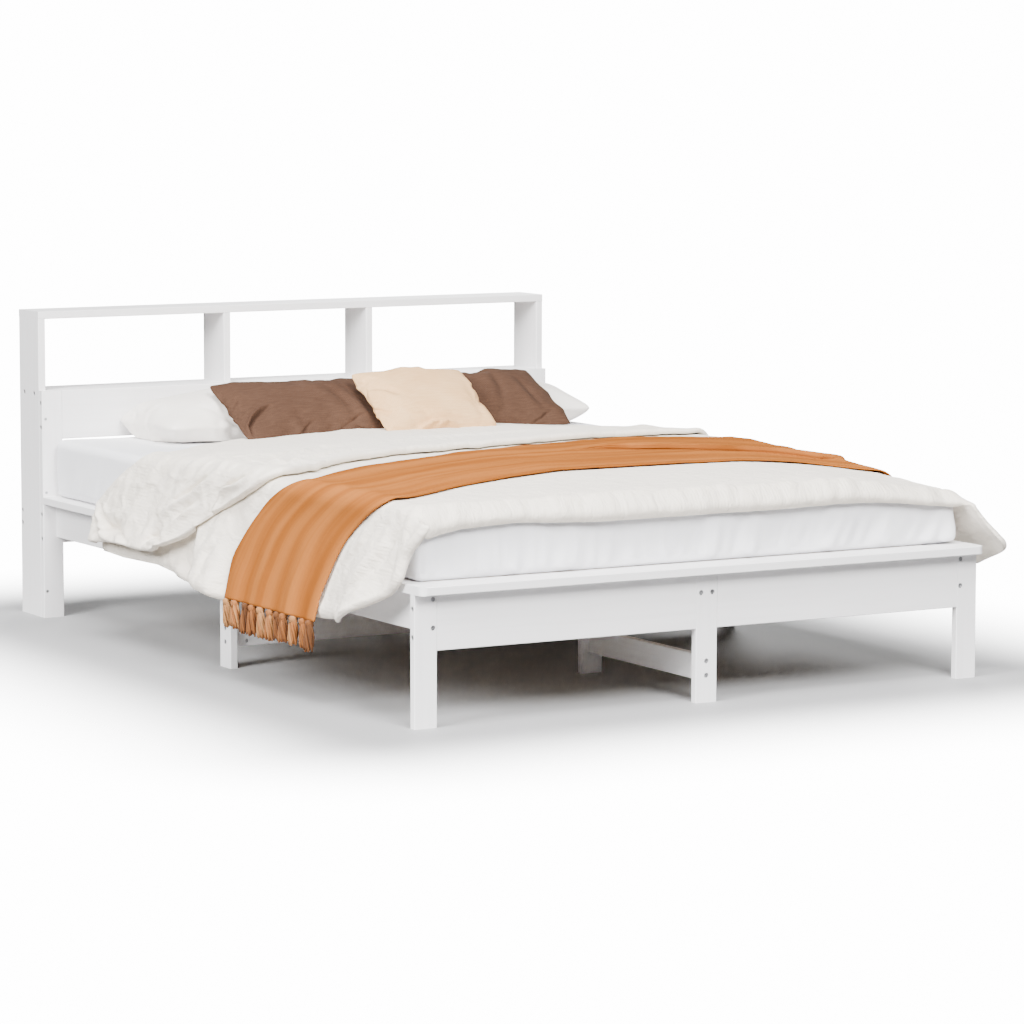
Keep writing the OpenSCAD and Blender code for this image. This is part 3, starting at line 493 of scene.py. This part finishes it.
# How far the cloth stands off its plain place: broad swells, slanted creases and the
# loose folds of the hanging sides. Distances t are from the foot's straight part.
def duvetFolds(s, t, flap=False):
    reach = np.abs(s)
    hang = np.clip((reach - bed["core"] - 0.02) / 0.24, 0, 1.2)
    left, right = (s < 0) * 1.0, (s > 0) * 1.0
    swell = ripple(s * 4.2 + 3, t * 4.2, 21, 2) * 0.003
    ridges = (1 - np.abs(ripple(s * 17, t * 11, 23, 2))) ** 4
    loose = 0.12 + 0.88 * np.maximum(bump(s, -0.84, 0.16) * smooth(t, 0.5, 0.9), hang * 0.8)
    fine = ripple(s * 24, t * 16, 24, 3) * 0.0014 + (ridges - 0.35) * 0.0042 * loose
    nearFoot = smooth(-t, -0.20, 0.02) * (1 - hang)
    pucker = ripple(s * 26, t * 9, 27, 2) * 0.0032 * nearFoot
    slant = ripple((s + t) * 12, (s - t) * 3.4, 31, 3)
    corner = bump(s, -0.74, 0.22) * smooth(t, 0.45, 0.9)
    small = slant * 0.008 * corner - 0.009 * bump(s, -0.765, 0.035) * smooth(-t, -0.03, 0.05)
    low = edgeLine(s, throwFoot) - bed["edge"]
    pressed = -0.007 * bump(t, low - 0.008, 0.016) * smooth(reach, 0.70, 0.80)
    if flap:
        foldL = 0.014 * bump(t, 1.33, 0.10) + 0.012 * bump(t, 1.12, 0.06) + 0.006
        for line, width, depth in flapCreases.values():
            small = small + crease(s, t, line, width, depth)
        crumpled = smooth(reach, 0.86, 0.95) * left * smooth(t, 1.05, 1.2)
        small = small + crumpled * ripple(s * 24, t * 17, 33, 2) * 0.007
        small = small * smooth(edgeLine(s, headEdge) - bed["edge"] - t, 0.0, 0.06)
    else:
        step = 0.985 - 0.5 * (reach - 0.93)
        foldL = 0.036 * bump(t, 0.125, 0.075) - 0.006 * smooth(t, step, step + 0.03)
        ledge = 0.034 * (1 - smooth(t, step - 0.012, step + 0.012))
        foldL = foldL + ledge * smooth(t, step - 0.24, step - 0.1)
        for line, width, depth in sideCreases.values():
            small = small + crease(s, t, line, width, depth) * left
    foldR = 0.07 * bump(t, -0.05, 0.10) + 0.03 * bump(t, 1.25, 0.09) + 0.024 * bump(t, 1.5, 0.08)
    sway = (left * foldL + right * foldR) * hang**1.6
    quiet = throwCover(s, t)
    return (swell * 0.6 + fine + pucker + small + pressed) * (1 - 0.9 * quiet) + sway * (1 - quiet)


# Creases in the turned back flap and in the hanging side: a line of (s, t), width and depth
flapCreases = {
    "fold": (
        [(-0.90, 0.925), (-0.84, 0.914), (-0.804, 0.896), (-0.784, 0.86), (-0.77, 0.79), (-0.75, 0.74)],
        0.006,
        0.019,
    ),
    "long": ([(-0.87, 1.15), (-0.845, 1.105), (-0.816, 1.048), (-0.79, 1.0), (-0.76, 0.95)], 0.009, 0.015),
    "second": ([(-0.90, 1.09), (-0.86, 1.04), (-0.835, 0.99)], 0.007, 0.008),
    "wide": ([(-0.70, 0.84), (-0.60, 0.96), (-0.44, 1.10), (-0.25, 1.16)], 0.012, 0.011),
    "near": ([(-0.69, 0.80), (-0.56, 0.90), (-0.44, 0.97), (-0.33, 1.0)], 0.008, 0.010),
    "tip": ([(-0.90, 1.57), (-0.93, 1.52), (-0.965, 1.45), (-0.985, 1.36)], 0.009, 0.014),
    "curl": ([(-0.985, 1.52), (-0.955, 1.46), (-0.962, 1.38), (-0.985, 1.30)], 0.007, 0.010),
    "hook": ([(-0.985, 1.22), (-0.955, 1.20), (-0.95, 1.15), (-0.965, 1.11)], 0.007, 0.010),
    "back": ([(-0.25, 1.10), (-0.05, 1.20), (0.25, 1.22), (0.50, 1.30)], 0.014, 0.007),
}
sideCreases = {
    "hollow": ([(-0.96, 1.09), (-0.995, 1.04), (-1.03, 1.0)], 0.020, 0.010),
    "upper": ([(-0.93, 0.86), (-0.97, 0.89), (-1.02, 0.88)], 0.012, 0.007),
    "corner": ([(-0.80, 0.02), (-0.87, 0.05), (-0.95, 0.12), (-1.0, 0.20)], 0.014, 0.009),
    "edge": ([(-0.78, 0.10), (-0.86, 0.16), (-0.93, 0.25)], 0.010, 0.006),
}


# One where the throw lies, nought away from it
def throwCover(s, t):
    low = edgeLine(s, throwFoot) - bed["edge"]
    high = edgeLine(s, throwHead) - bed["edge"]
    return smooth(t, low - 0.055, low + 0.004) * (1 - smooth(t, high - 0.004, high + 0.045))


# Edges of the throw, in the same measures and from the same source
throwFoot = [
    (-1.07, 0.335), (-1.0, 0.332), (-0.90, 0.298), (-0.844, 0.262), (-0.792, 0.195),
    (-0.755, 0.125), (-0.69, 0.145), (-0.608, 0.194), (-0.472, 0.294), (-0.30, 0.385),
    (-0.092, 0.468), (0.156, 0.468), (0.416, 0.466), (0.576, 0.442), (0.66, 0.405),
    (0.73, 0.30), (0.80, 0.29), (1.0, 0.34),
]
throwHead = [
    (-1.07, 0.806), (-0.952, 0.806), (-0.872, 0.752), (-0.80, 0.684), (-0.765, 0.61),
    (-0.733, 0.565), (-0.68, 0.62), (-0.608, 0.685), (-0.484, 0.770), (-0.35, 0.84),
    (-0.216, 0.90), (-0.1, 0.95), (0.248, 1.046), (0.456, 1.09), (0.62, 1.06),
    (0.72, 0.99), (0.86, 0.93), (1.0, 0.90),
]

duvetThick = {"side": 0.0145, "crown": 0.004, "flap": 0.0085}


def duvetLift(s):
    across = np.clip(np.abs(s) / bed["core"], 0, 1)
    return duvetThick["side"] + duvetThick["crown"] * (1 - across**2)


# Toward the head the duvet lies pressed flatter, less so behind the beige cushion
def pressedFlat(s, t):
    fromHead = edgeLine(s, headEdge) - bed["edge"] - t
    share = between(s, [(-0.48, 0.5), (-0.08, 0.08), (0.32, 0.1), (0.58, 0.6)])
    return 1 - share * smooth(-fromHead, -0.42, -0.10) * smooth(-np.abs(s), -0.84, -0.68)


# The duvet's hem: how far the cloth reaches across at each place along the bed
leftHem = [
    (0.15, 1.044), (0.228, 1.038), (0.3, 1.045), (0.80, 1.064), (0.888, 1.054), (0.93, 1.046),
    (1.0, 1.048), (1.09, 1.038), (1.124, 1.03), (1.22, 1.022), (1.42, 1.026), (1.6, 1.02),
]
rightHem = [(-0.05, 1.008), (0.12, 0.985), (1.1, 0.985), (1.6, 0.97)]
flapHem = [(1.16, 0.99), (1.25, 0.996), (1.34, 0.992), (1.465, 0.996), (1.54, 1.006), (1.6, 1.008)]
hemInset = 0.012


def hemReach(left, t):
    return np.where(left, between(t, leftHem), between(t, rightHem))


# Where the lower cloth begins and ends along the bed, at each place across
def duvetEnds(s):
    return edgeLine(s, footEdge), edgeLine(s, headEdge) - bed["edge"] - hemInset


def makeDuvet():
    cols, rows = 300, 250
    u, v = np.meshgrid(np.linspace(-1, 1, cols), np.linspace(0, 1, rows))
    u = u * (0.93 + 0.07 * u * u)
    v = 0.5 * v + 0.5 * (1 - np.cos(v * math.pi)) / 2
    s = u
    for _ in range(3):
        foot, head = duvetEnds(s)
        t = foot + v * (head - foot)
        s = u * hemReach(u < 0, t)
    foot, head = duvetEnds(s)
    edge = np.minimum(t - foot, head - t)
    edge = np.minimum(edge, hemReach(s < 0, t) - np.abs(s))
    body = roundEdge(edge + 0.001, 0.016)
    folds = duvetFolds(s, t)
    low = 0.0008 + 0.002 * bump(np.abs(s), bed["core"] + 0.03, 0.03)
    low = low + 0.006 * smooth(-t, -0.01, 0.02)
    hanging = smooth(np.abs(s), bed["core"] + 0.03, bed["core"] + 0.09)
    roll = 0.004 * bump(edge, 0.02, 0.014)
    top = low + 0.003 + (duvetLift(s) - 0.003 + roll) * body
    flatter = pressedFlat(s, t)
    outer = overBed(s, t, (top + folds) * flatter)
    inner = overBed(s, t, (low + np.maximum(0, folds) * hanging) * flatter)
    obj = clothSolid("duvetLower", outer, inner, np.stack([s, t], axis=-1))
    faceOut(obj)
    obj.data.materials.append(duvetCotton)
    onBed(obj, "duvet_cotton", "duvet")


def makeFlap():
    cols, rows = 360, 220
    u, v = np.meshgrid(np.linspace(-1, 1, cols), np.linspace(0, 1, rows))
    u = np.sin(u * 1.3) / math.sin(1.3)
    v = (1 - np.cos(v * math.pi)) / 2
    reach = 0.99
    for _ in range(3):
        s = u * reach
        start = edgeLine(s, flapEdge) - bed["edge"]
        end = edgeLine(s, headEdge) - bed["edge"] + 0.006
        t = start + v * (end - start)
        reach = np.where(u < 0, between(t, flapHem), 0.972)
    side = reach - np.abs(s)
    edge = np.minimum(t - start, side)
    nose = end - t
    beneath = duvetFolds(s, t)
    extra = duvetFolds(s, t, flap=True) - beneath
    under = duvetLift(s) + 0.0022
    tuck = smooth(nose, 0.004, 0.03)
    lowSide = 0.004 * bump(np.abs(s), bed["core"] + 0.03, 0.035)
    body = roundEdge(edge + 0.0008, 0.010) * (0.8 + 0.2 * roundEdge(edge, 0.12))
    billow = (0.5 + 0.5 * ripple(s * 3.4 + 9, t * 3.6, 41, 2)) * smooth(nose, 0.1, 0.5)
    lip = bump(edge, 0.0, 0.03) * (0.0035 + 0.009 * smooth(np.abs(s), 0.86, 0.95))
    thick = 0.0028 + (duvetThick["flap"] + 0.0015 + 0.006 * billow) * body
    low = 0.0012 + (under - 0.0012 + beneath + np.maximum(0, extra)) * tuck + lip + lowSide * tuck
    plain = np.maximum(under + thick, (under + thick) * roundEdge(nose + 0.001, 0.034) + 0.003)
    plain = np.where(nose < 0.034, (under + thick) * roundEdge(nose + 0.001, 0.034) + 0.003, plain)
    top = np.maximum(plain + beneath + extra + lip + lowSide, low + 0.0028)
    flatter = pressedFlat(s, t)
    outer = overBed(s, t, top * flatter)
    inner = overBed(s, t, low * flatter)
    obj = clothSolid("duvetFlap", outer, inner, np.stack([s, t], axis=-1))
    faceOut(obj)
    obj.data.materials.append(duvetCotton)
    onBed(obj, "duvet_cotton", "duvet")


makeDuvet()
makeFlap()
print("duvet done")


# Throw: a thin woven sheet along its lines on the bed, with lengthwise ridges and a long fold.
# The fold's line, as a share of the throw's width.
def foldLine(s):
    return between(s, [(-0.3, 0.40), (0.0, 0.60), (0.22, 0.64), (0.45, 0.42), (0.68, 0.20), (0.85, 0.40)])


foldHeight, foldLap = 0.015, 0.030


def throwPoints(s, q, lift=0.0):
    low, high = edgeLine(s, throwFoot), edgeLine(s, throwHead)
    t = low + q * (high - low) - bed["edge"]
    ridge = 0.0035 * bump(q, 0.28, 0.07) + 0.003 * bump(q, 0.62, 0.06) + 0.0025 * bump(q, 0.86, 0.05)
    onTop = smooth(-np.abs(s), -0.80, -0.66)
    past = q - foldLine(s)
    held = smooth(s, 0.10, 0.34) * onTop
    longFold = foldHeight * smooth(past, -0.005, 0.018) * (1 - smooth(past, 0.05, 0.30)) * held
    t = t - foldLap * smooth(past, 0.0, 0.014) * (1 - smooth(past, 0.02, 0.20)) * held
    hang = smooth(np.abs(s), 0.80, 1.02)
    flute = 0.005 * hang * (1 + np.sin(q * 21 + 1.0)) * (0.6 + 0.4 * np.sin(q * 9.0))
    wrinkle = 0.0012 * ripple(s * 9, q * 9, 51, 2)
    base = duvetLift(s) + 0.0042 + 0.005 * bump(np.abs(s), bed["core"] + 0.03, 0.05)
    return overBed(s, t, base + ridge + longFold + flute + wrinkle + lift), t


throwEnds = (-1.057, 0.998)


def makeThrow():
    cols, rows = 420, 90
    u, q = np.meshgrid(np.linspace(0, 1, cols), np.linspace(0, 1, rows))
    s = throwEnds[0] + u * (throwEnds[1] - throwEnds[0])
    turn, share = foldLine(s), 0.4
    q = np.where(q < share, q / share * turn, turn + (q - share) / (1 - share) * (1 - turn))
    edge = np.minimum(np.minimum(q, 1 - q) * 0.5, np.minimum(u, 1 - u) * 2.05)
    thick = 0.0012 + 0.0026 * roundEdge(edge + 0.0008, 0.005)
    outer, t = throwPoints(s, q, thick)
    inner, _ = throwPoints(s, q)
    obj = clothSolid("throwCloth", outer, inner, np.stack([s, t - edgeLine(s, throwFoot)], axis=-1))
    faceOut(obj)
    obj.data.materials.append(throwCloth)
    return onBed(obj, "throw_cotton", "throw")


tasselCount, strandCount = 11, 18
tasselLength, knotDrop = 0.066, 0.008


# Fringe: each tassel is a knotted bunch of yarn ends, hanging straight down
def makeFringe(side):
    chance = np.random.default_rng(60 + side)
    points, faces, tones = [], [], []
    around = 6

    def strand(path, radii, tone):
        start = sum(len(p) for p in points)
        rings = []
        for k, centre in enumerate(path):
            angle = np.arange(around) * 2 * math.pi / around + k * 0.5
            ring = np.stack([np.cos(angle), np.sin(angle), np.zeros(around)], axis=-1) * radii[k]
            rings.append(ring + centre)
        points.append(np.concatenate(rings))
        for k in range(len(path) - 1):
            a = start + k * around + np.arange(around)
            b = start + k * around + (np.arange(around) + 1) % around
            faces.extend(np.stack([a, b, b + around, a + around], axis=-1).tolist())
        last = start + (len(path) - 1) * around
        faces.append([last + i for i in range(around)])
        faces.append([start + i for i in range(around - 1, -1, -1)])
        tones.extend([tone] * (around * len(path)))

    s = throwEnds[0] if side < 0 else throwEnds[1]
    for n in range(tasselCount):
        q = (n + 0.5) / tasselCount
        mid, _ = throwPoints(np.array([s]), np.array([q]), 0.001)
        top = mid[0] + np.array([0, 0, 0.001])
        family = (0.15, 0.55, 0.9, 0.35)[n % 4] + chance.uniform(-0.12, 0.12)
        length = tasselLength + chance.uniform(-0.005, 0.007)
        lean = np.array([chance.uniform(-0.004, 0.004), chance.uniform(-0.006, 0.006), 0])
        knot = [top + np.array([0, 0, z]) for z in (0.0, -0.003, -0.008, -0.013, -0.017)]
        strand(knot, [0.006, 0.0105, 0.0118, 0.0105, 0.009], family)
        for m in range(strandCount):
            turn = m * 2.4 + chance.uniform(0, 0.6)
            spread = 0.0115 * math.sqrt((m + 0.5) / strandCount)
            reach = length + chance.uniform(-0.005, 0.004)
            path = []
            for k in range(7):
                f = k / 6
                angle = turn + f * 1.5
                aside = np.array([math.cos(angle) * spread * 0.8, math.sin(angle) * spread * 1.35, 0])
                drop = np.array([0, 0, -knotDrop - (reach - knotDrop) * f])
                path.append(top + aside * min(1, 0.55 + f * 1.2) + lean * f + drop)
            radii = [0.0026, 0.0033, 0.0034, 0.0034, 0.0033, 0.003, 0.0018]
            strand(path, radii, min(1, max(0, family + chance.uniform(-0.28, 0.28))))
    obj = newMesh("fringeLeft" if side < 0 else "fringeRight", np.concatenate(points), faces)
    layer = obj.data.attributes.new("tone", "FLOAT", "POINT")
    layer.data.foreach_set("value", np.array(tones, np.float32))
    obj.data.materials.append(fringeYarn)
    return onBed(obj, "tassel_yarn", "tassels")


throw = makeThrow()
fringes = [makeFringe(-1), makeFringe(1)]
print("throw done")


clothStart = 0.02


# A pillow blown up from two flat cloths sewn round their edge.
def inflated(name, width, depth, counts, pressure, frames, bend):
    nu, nv = counts
    u, v = np.meshgrid(np.linspace(-1, 1, nu), np.linspace(-1, 1, nv))
    flat = np.stack([u * width / 2, v * depth / 2, np.zeros_like(u)], axis=-1).reshape(-1, 3)
    gap = (1 - u**2) * (1 - v**2)
    upper = flat + np.array([0, 0, 1]) * (gap.reshape(-1, 1) * clothStart)
    lower = flat - np.array([0, 0, 1]) * (gap.reshape(-1, 1) * clothStart)
    inside = ((np.abs(u) < 1) & (np.abs(v) < 1)).ravel()
    index = np.full(nu * nv, -1)
    index[inside] = nu * nv + np.arange(inside.sum())
    index[~inside] = np.arange(nu * nv)[~inside]
    top = gridQuads(nv, nu, 0, False)
    bottom = index[gridQuads(nv, nu, 0, True)]
    obj = newMesh(name, np.concatenate([upper, lower[inside]]), np.concatenate([top, bottom]))
    cloth = obj.modifiers.new("cloth", "CLOTH")
    settings = cloth.settings
    settings.quality = 6
    settings.mass = 0.25
    settings.tension_stiffness = 22
    settings.compression_stiffness = 22
    settings.shear_stiffness = 9
    settings.bending_stiffness = bend
    settings.use_pressure = True
    settings.uniform_pressure_force = pressure
    settings.effector_weights.gravity = 0
    settings.air_damping = 3
    cloth.point_cache.frame_start = 1
    cloth.point_cache.frame_end = frames
    for step in range(1, frames + 1):
        scene.frame_set(step)
    pickAlone(obj)
    bpy.ops.object.modifier_apply(modifier="cloth")
    scene.frame_set(1)
    obj.select_set(False)
    return obj


def coordinates(obj):
    co = np.zeros(len(obj.data.vertices) * 3, np.float32)
    obj.data.vertices.foreach_get("co", co)
    return co.reshape(-1, 3).astype(float)


def setCoordinates(obj, co):
    obj.data.vertices.foreach_set("co", co.astype(np.float32).ravel())
    obj.data.update()


# Fits a blown-up pillow to its size: centred, of that width, depth and height over the seam
def fitted(obj, counts, width, depth, above, below):
    co = coordinates(obj)
    nu, nv = counts
    u, v = np.meshgrid(np.linspace(-1, 1, nu), np.linspace(-1, 1, nv))
    inside = ((np.abs(u) < 1) & (np.abs(v) < 1)).ravel()
    seam = co[: nu * nv].reshape(nv, nu, 3)
    far = np.array([np.abs(seam[..., 0]).max(), np.abs(seam[..., 1]).max()])
    left = (-far[0] - seam[:, 0, 0])[:, None] * (1 - u) / 2
    right = (far[0] - seam[:, -1, 0])[:, None] * (1 + u) / 2
    front = (-far[1] - seam[0, :, 1])[None, :] * (1 - v) / 2
    back = (far[1] - seam[-1, :, 1])[None, :] * (1 + v) / 2
    corner = 1 - 0.5 * (np.abs(u) * np.abs(v)) ** 10
    pull = np.stack([(left + right) * 0.75 * corner, (front + back) * 0.75 * corner], axis=-1)
    pull = pull.reshape(-1, 2)
    co[:, :2] += np.concatenate([pull, pull[inside]])
    rounded = 1 - 0.035 * (np.abs(u) * np.abs(v)) ** 8
    co[:, :2] *= np.concatenate([rounded.ravel(), rounded.ravel()[inside]])[:, None]
    low, high = co.min(0), co.max(0)
    co = co - (low + high) / 2
    co[:, 0] *= width / (high[0] - low[0])
    co[:, 1] *= depth / (high[1] - low[1])
    up = co[:, 2] > 0
    co[:, 2] = np.where(up, co[:, 2] * above / co[:, 2].max(), co[:, 2] * below / -co[:, 2].min())
    return co


def smoothed(obj, levels=1):
    more = obj.modifiers.new("smooth", "SUBSURF")
    more.levels = levels
    more.render_levels = levels
    pickAlone(obj)
    bpy.ops.object.modifier_apply(modifier="smooth")
    obj.select_set(False)


pillowGrid = (61, 37)
pillowSink = 0.0035
for index, name in enumerate(["pillow_left", "pillow_right"]):
    low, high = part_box(name)
    width, depth, tall = high.x - low.x, high.y - low.y, high.z - low.z
    obj = inflated("pillow" + "LR"[index], 0.72, 0.40, pillowGrid, pressure=5.0, frames=24, bend=0.25)
    co = fitted(obj, pillowGrid, width, depth, above=tall * 0.67, below=tall * 0.42)
    across, along = co[:, 0] / width * 2, co[:, 1] / depth * 2
    if index:
        co[:, 0] = -co[:, 0]
    seam = tall * 0.33
    under = np.maximum(co[:, 2] * 1.9, -seam + 0.002 * np.cos(across * 9))
    co[:, 2] = np.where(co[:, 2] < 0, under, co[:, 2])
    co[:, 2] *= 1 - 0.12 * smooth(-along, 0.1, 0.9)
    centre = (np.array(low) + np.array(high)) / 2
    co += np.array([centre[0], centre[1], low.z + seam - pillowSink])
    setCoordinates(obj, co)
    if index:
        faceOut(obj)
    smoothed(obj)
    obj.data.materials.append(pillowCotton)
    onBed(obj, "pillow_cotton", name)
print("pillows done")


# Scatter cushions lean back on the pillows. Each starts in its own plane and is tipped up.
# Slot, material, lean in degrees, height along the face, and how deep it sinks.
cushionGrid = (53, 37)
coverEase, forward = 0.03, 0.008
cushionLooks = {
    "cushion_brown_left": ("brown_linen", brownLinen, 27.5, 0.280, 0.013),
    "cushion_brown_right": ("brown_linen", brownLinen, 27.5, 0.280, 0.013),
    "cushion_beige": ("beige_linen", beigeLinen, 33.0, 0.256, 0.001),
}
cushionCreases = {
    "cushion_brown_left": [
        (
            [(-0.125, -0.03), (-0.155, -0.045), (-0.185, -0.066), (-0.205, -0.09), (-0.208, -0.12)],
            0.0040,
            0.013,
        ),
        ([(0.07, 0.06), (0.10, -0.02), (0.10, -0.11)], 0.018, 0.0045),
        ([(0.13, 0.05), (0.155, -0.03), (0.15, -0.11)], 0.013, 0.0045),
    ],
    "cushion_brown_right": [
        ([(0.07, 0.08), (0.06, 0.0), (0.03, -0.09)], 0.014, 0.005),
        ([(0.14, 0.06), (0.145, -0.03), (0.15, -0.10)], 0.013, 0.005),
    ],
    "cushion_beige": [
        ([(-0.10, -0.122), (-0.04, -0.108), (0.03, -0.112), (0.09, -0.124)], 0.008, 0.009),
        ([(-0.158, 0.04), (-0.12, 0.02), (-0.09, -0.02)], 0.010, 0.006),
        ([(0.13, -0.12), (0.115, -0.06), (0.125, 0.02)], 0.014, 0.005),
    ],
}
for index, (name, (slotName, material, lean, tall, sunk)) in enumerate(cushionLooks.items()):
    low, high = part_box(name)
    width, tip = high.x - low.x, math.radians(lean)
    cover = (width + coverEase, tall + coverEase)
    obj = inflated("cushion" + "ABC"[index], *cover, cushionGrid, pressure=6.0, frames=24, bend=0.3)
    co = fitted(obj, cushionGrid, width, tall, above=0.049, below=0.026)
    if index == 1:
        co[:, 0] = -co[:, 0]
    setCoordinates(obj, co)
    if index == 1:
        faceOut(obj)
    smoothed(obj, 2)
    co = coordinates(obj)
    for line, narrow, depth in cushionCreases[name]:
        co[:, 2] += crease(co[:, 0], co[:, 1], line, narrow, depth) * smooth(co[:, 2], 0.0, 0.012)
    turned = np.stack([co[:, 0], co[:, 1] * math.cos(tip) - co[:, 2] * math.sin(tip),
                       co[:, 1] * math.sin(tip) + co[:, 2] * math.cos(tip)], axis=-1)
    centre = (np.array(low) + np.array(high)) / 2
    turned[:, 0] += centre[0]
    turned[:, 1] += centre[1] - (turned[:, 1].min() + turned[:, 1].max()) / 2 - forward
    turned[:, 2] += low.z - turned[:, 2].min() - sunk
    setCoordinates(obj, turned)
    obj.data.materials.append(material)
    onBed(obj, slotName, name)
print("cushions done")


# Camera where the photograph was taken from, lights and a grey floor, whose grey near the bed is painted
# shade
camera = bpy.data.objects.new("camera", bpy.data.cameras.new("camera"))
scene.collection.objects.link(camera)
camera.location = (-5.15328, -9.0587, 1.54465)
yaw, pitch, roll = 30.13, 6.6, 0.09
focalPixels, photoWidth, sensorWidth = 4104.87, 1024, 36
turn = Matrix.Rotation(math.radians(-yaw), 4, "Z") @ Matrix.Rotation(math.radians(90 - pitch), 4, "X")
camera.rotation_euler = (turn @ Matrix.Rotation(math.radians(roll), 4, "Z")).to_euler()
camera.data.sensor_width = sensorWidth
camera.data.lens = focalPixels * sensorWidth / photoWidth
camera.data.clip_end = 60
scene.camera = camera


bedMiddle, panelSize = (0, 0, 0.3), 3.0


def areaLight(name, place, power):
    light = bpy.data.lights.new(name, "AREA")
    light.shape, light.size, light.energy = "SQUARE", panelSize, power
    obj = bpy.data.objects.new(name, light)
    obj.location = place
    obj.rotation_euler = (Vector(bedMiddle) - Vector(place)).to_track_quat("-Z", "Y").to_euler()
    scene.collection.objects.link(obj)


sun = bpy.data.objects.new("sun", bpy.data.lights.new("sun", "SUN"))
sun.data.energy, sun.data.angle = 4.2, math.radians(24)
sun.rotation_euler = Vector((0.30, 0.30, -0.90)).to_track_quat("-Z", "Y").to_euler()
scene.collection.objects.link(sun)
areaLight("frontFill", (-1.0, -6.5, 5.0), 1400)
areaLight("leftFill", (-6.5, -2.5, 4.0), 1300)
areaLight("backFill", (4.5, 7.0, 4.0), 420)
world = bpy.data.worlds.new("world")
world.use_nodes = True
backdrop = world.node_tree.nodes["Background"]
seen = world.node_tree.nodes.new("ShaderNodeLightPath")
# The backdrop is bright where the camera sees it and lights the bed only a little
roomLight, seenLight = 0.12, 15.0
brightness = world.node_tree.nodes.new("ShaderNodeMapRange")
brightness.inputs[3].default_value = roomLight
brightness.inputs[4].default_value = seenLight
world.node_tree.links.new(seen.outputs["Is Camera Ray"], brightness.inputs[0])
world.node_tree.links.new(brightness.outputs[0], backdrop.inputs[1])
backdrop.inputs[0].default_value = (1, 1, 1, 1)
scene.world = world

# The floor fades into the backdrop with the distance from the bed. Its dark grey near the bed is painted
# shade round the bed; it catches the real shadows as well
bedHalf = (0.9, 1.15)
floorMesh = newMesh("floor", [(-6, -6, 0), (6, -6, 0), (6, 6, 0), (-6, 6, 0)], [(0, 1, 2, 3)])
floorShader = Shader("shadeGreyFloor")
cloud = floorShader.noise(floorShader.place((1, 1, 1)), 1.2, 2.0)
floorPlace = floorShader.node("ShaderNodeSeparateXYZ", {}, {0: floorShader.place((1, 1, 1))})
floorPast = [(floorPlace[a].math("ABSOLUTE") - bedHalf[a]).math("MAXIMUM", 0.0) for a in range(2)]
floorFar = (floorPast[0] * floorPast[0] + floorPast[1] * floorPast[1]).math("SQRT")
# Dark grey floor colour: painted shade round the bed, kept only near it by the fade, besides the real
# shadows it catches
floorShadeGrey = cloud.mix((0.34, 0.34, 0.345), (0.36, 0.36, 0.365))
floorShadeFade = floorFar.ramp(0.02, 0.85, 1.0, 0.0)
floorMaterial = floorShader.finish(floorShadeGrey, 0.6, Specular_IOR_Level=0.2, Alpha=floorShadeFade)
floorMesh.data.materials.append(floorMaterial)
print("camera and lights done")
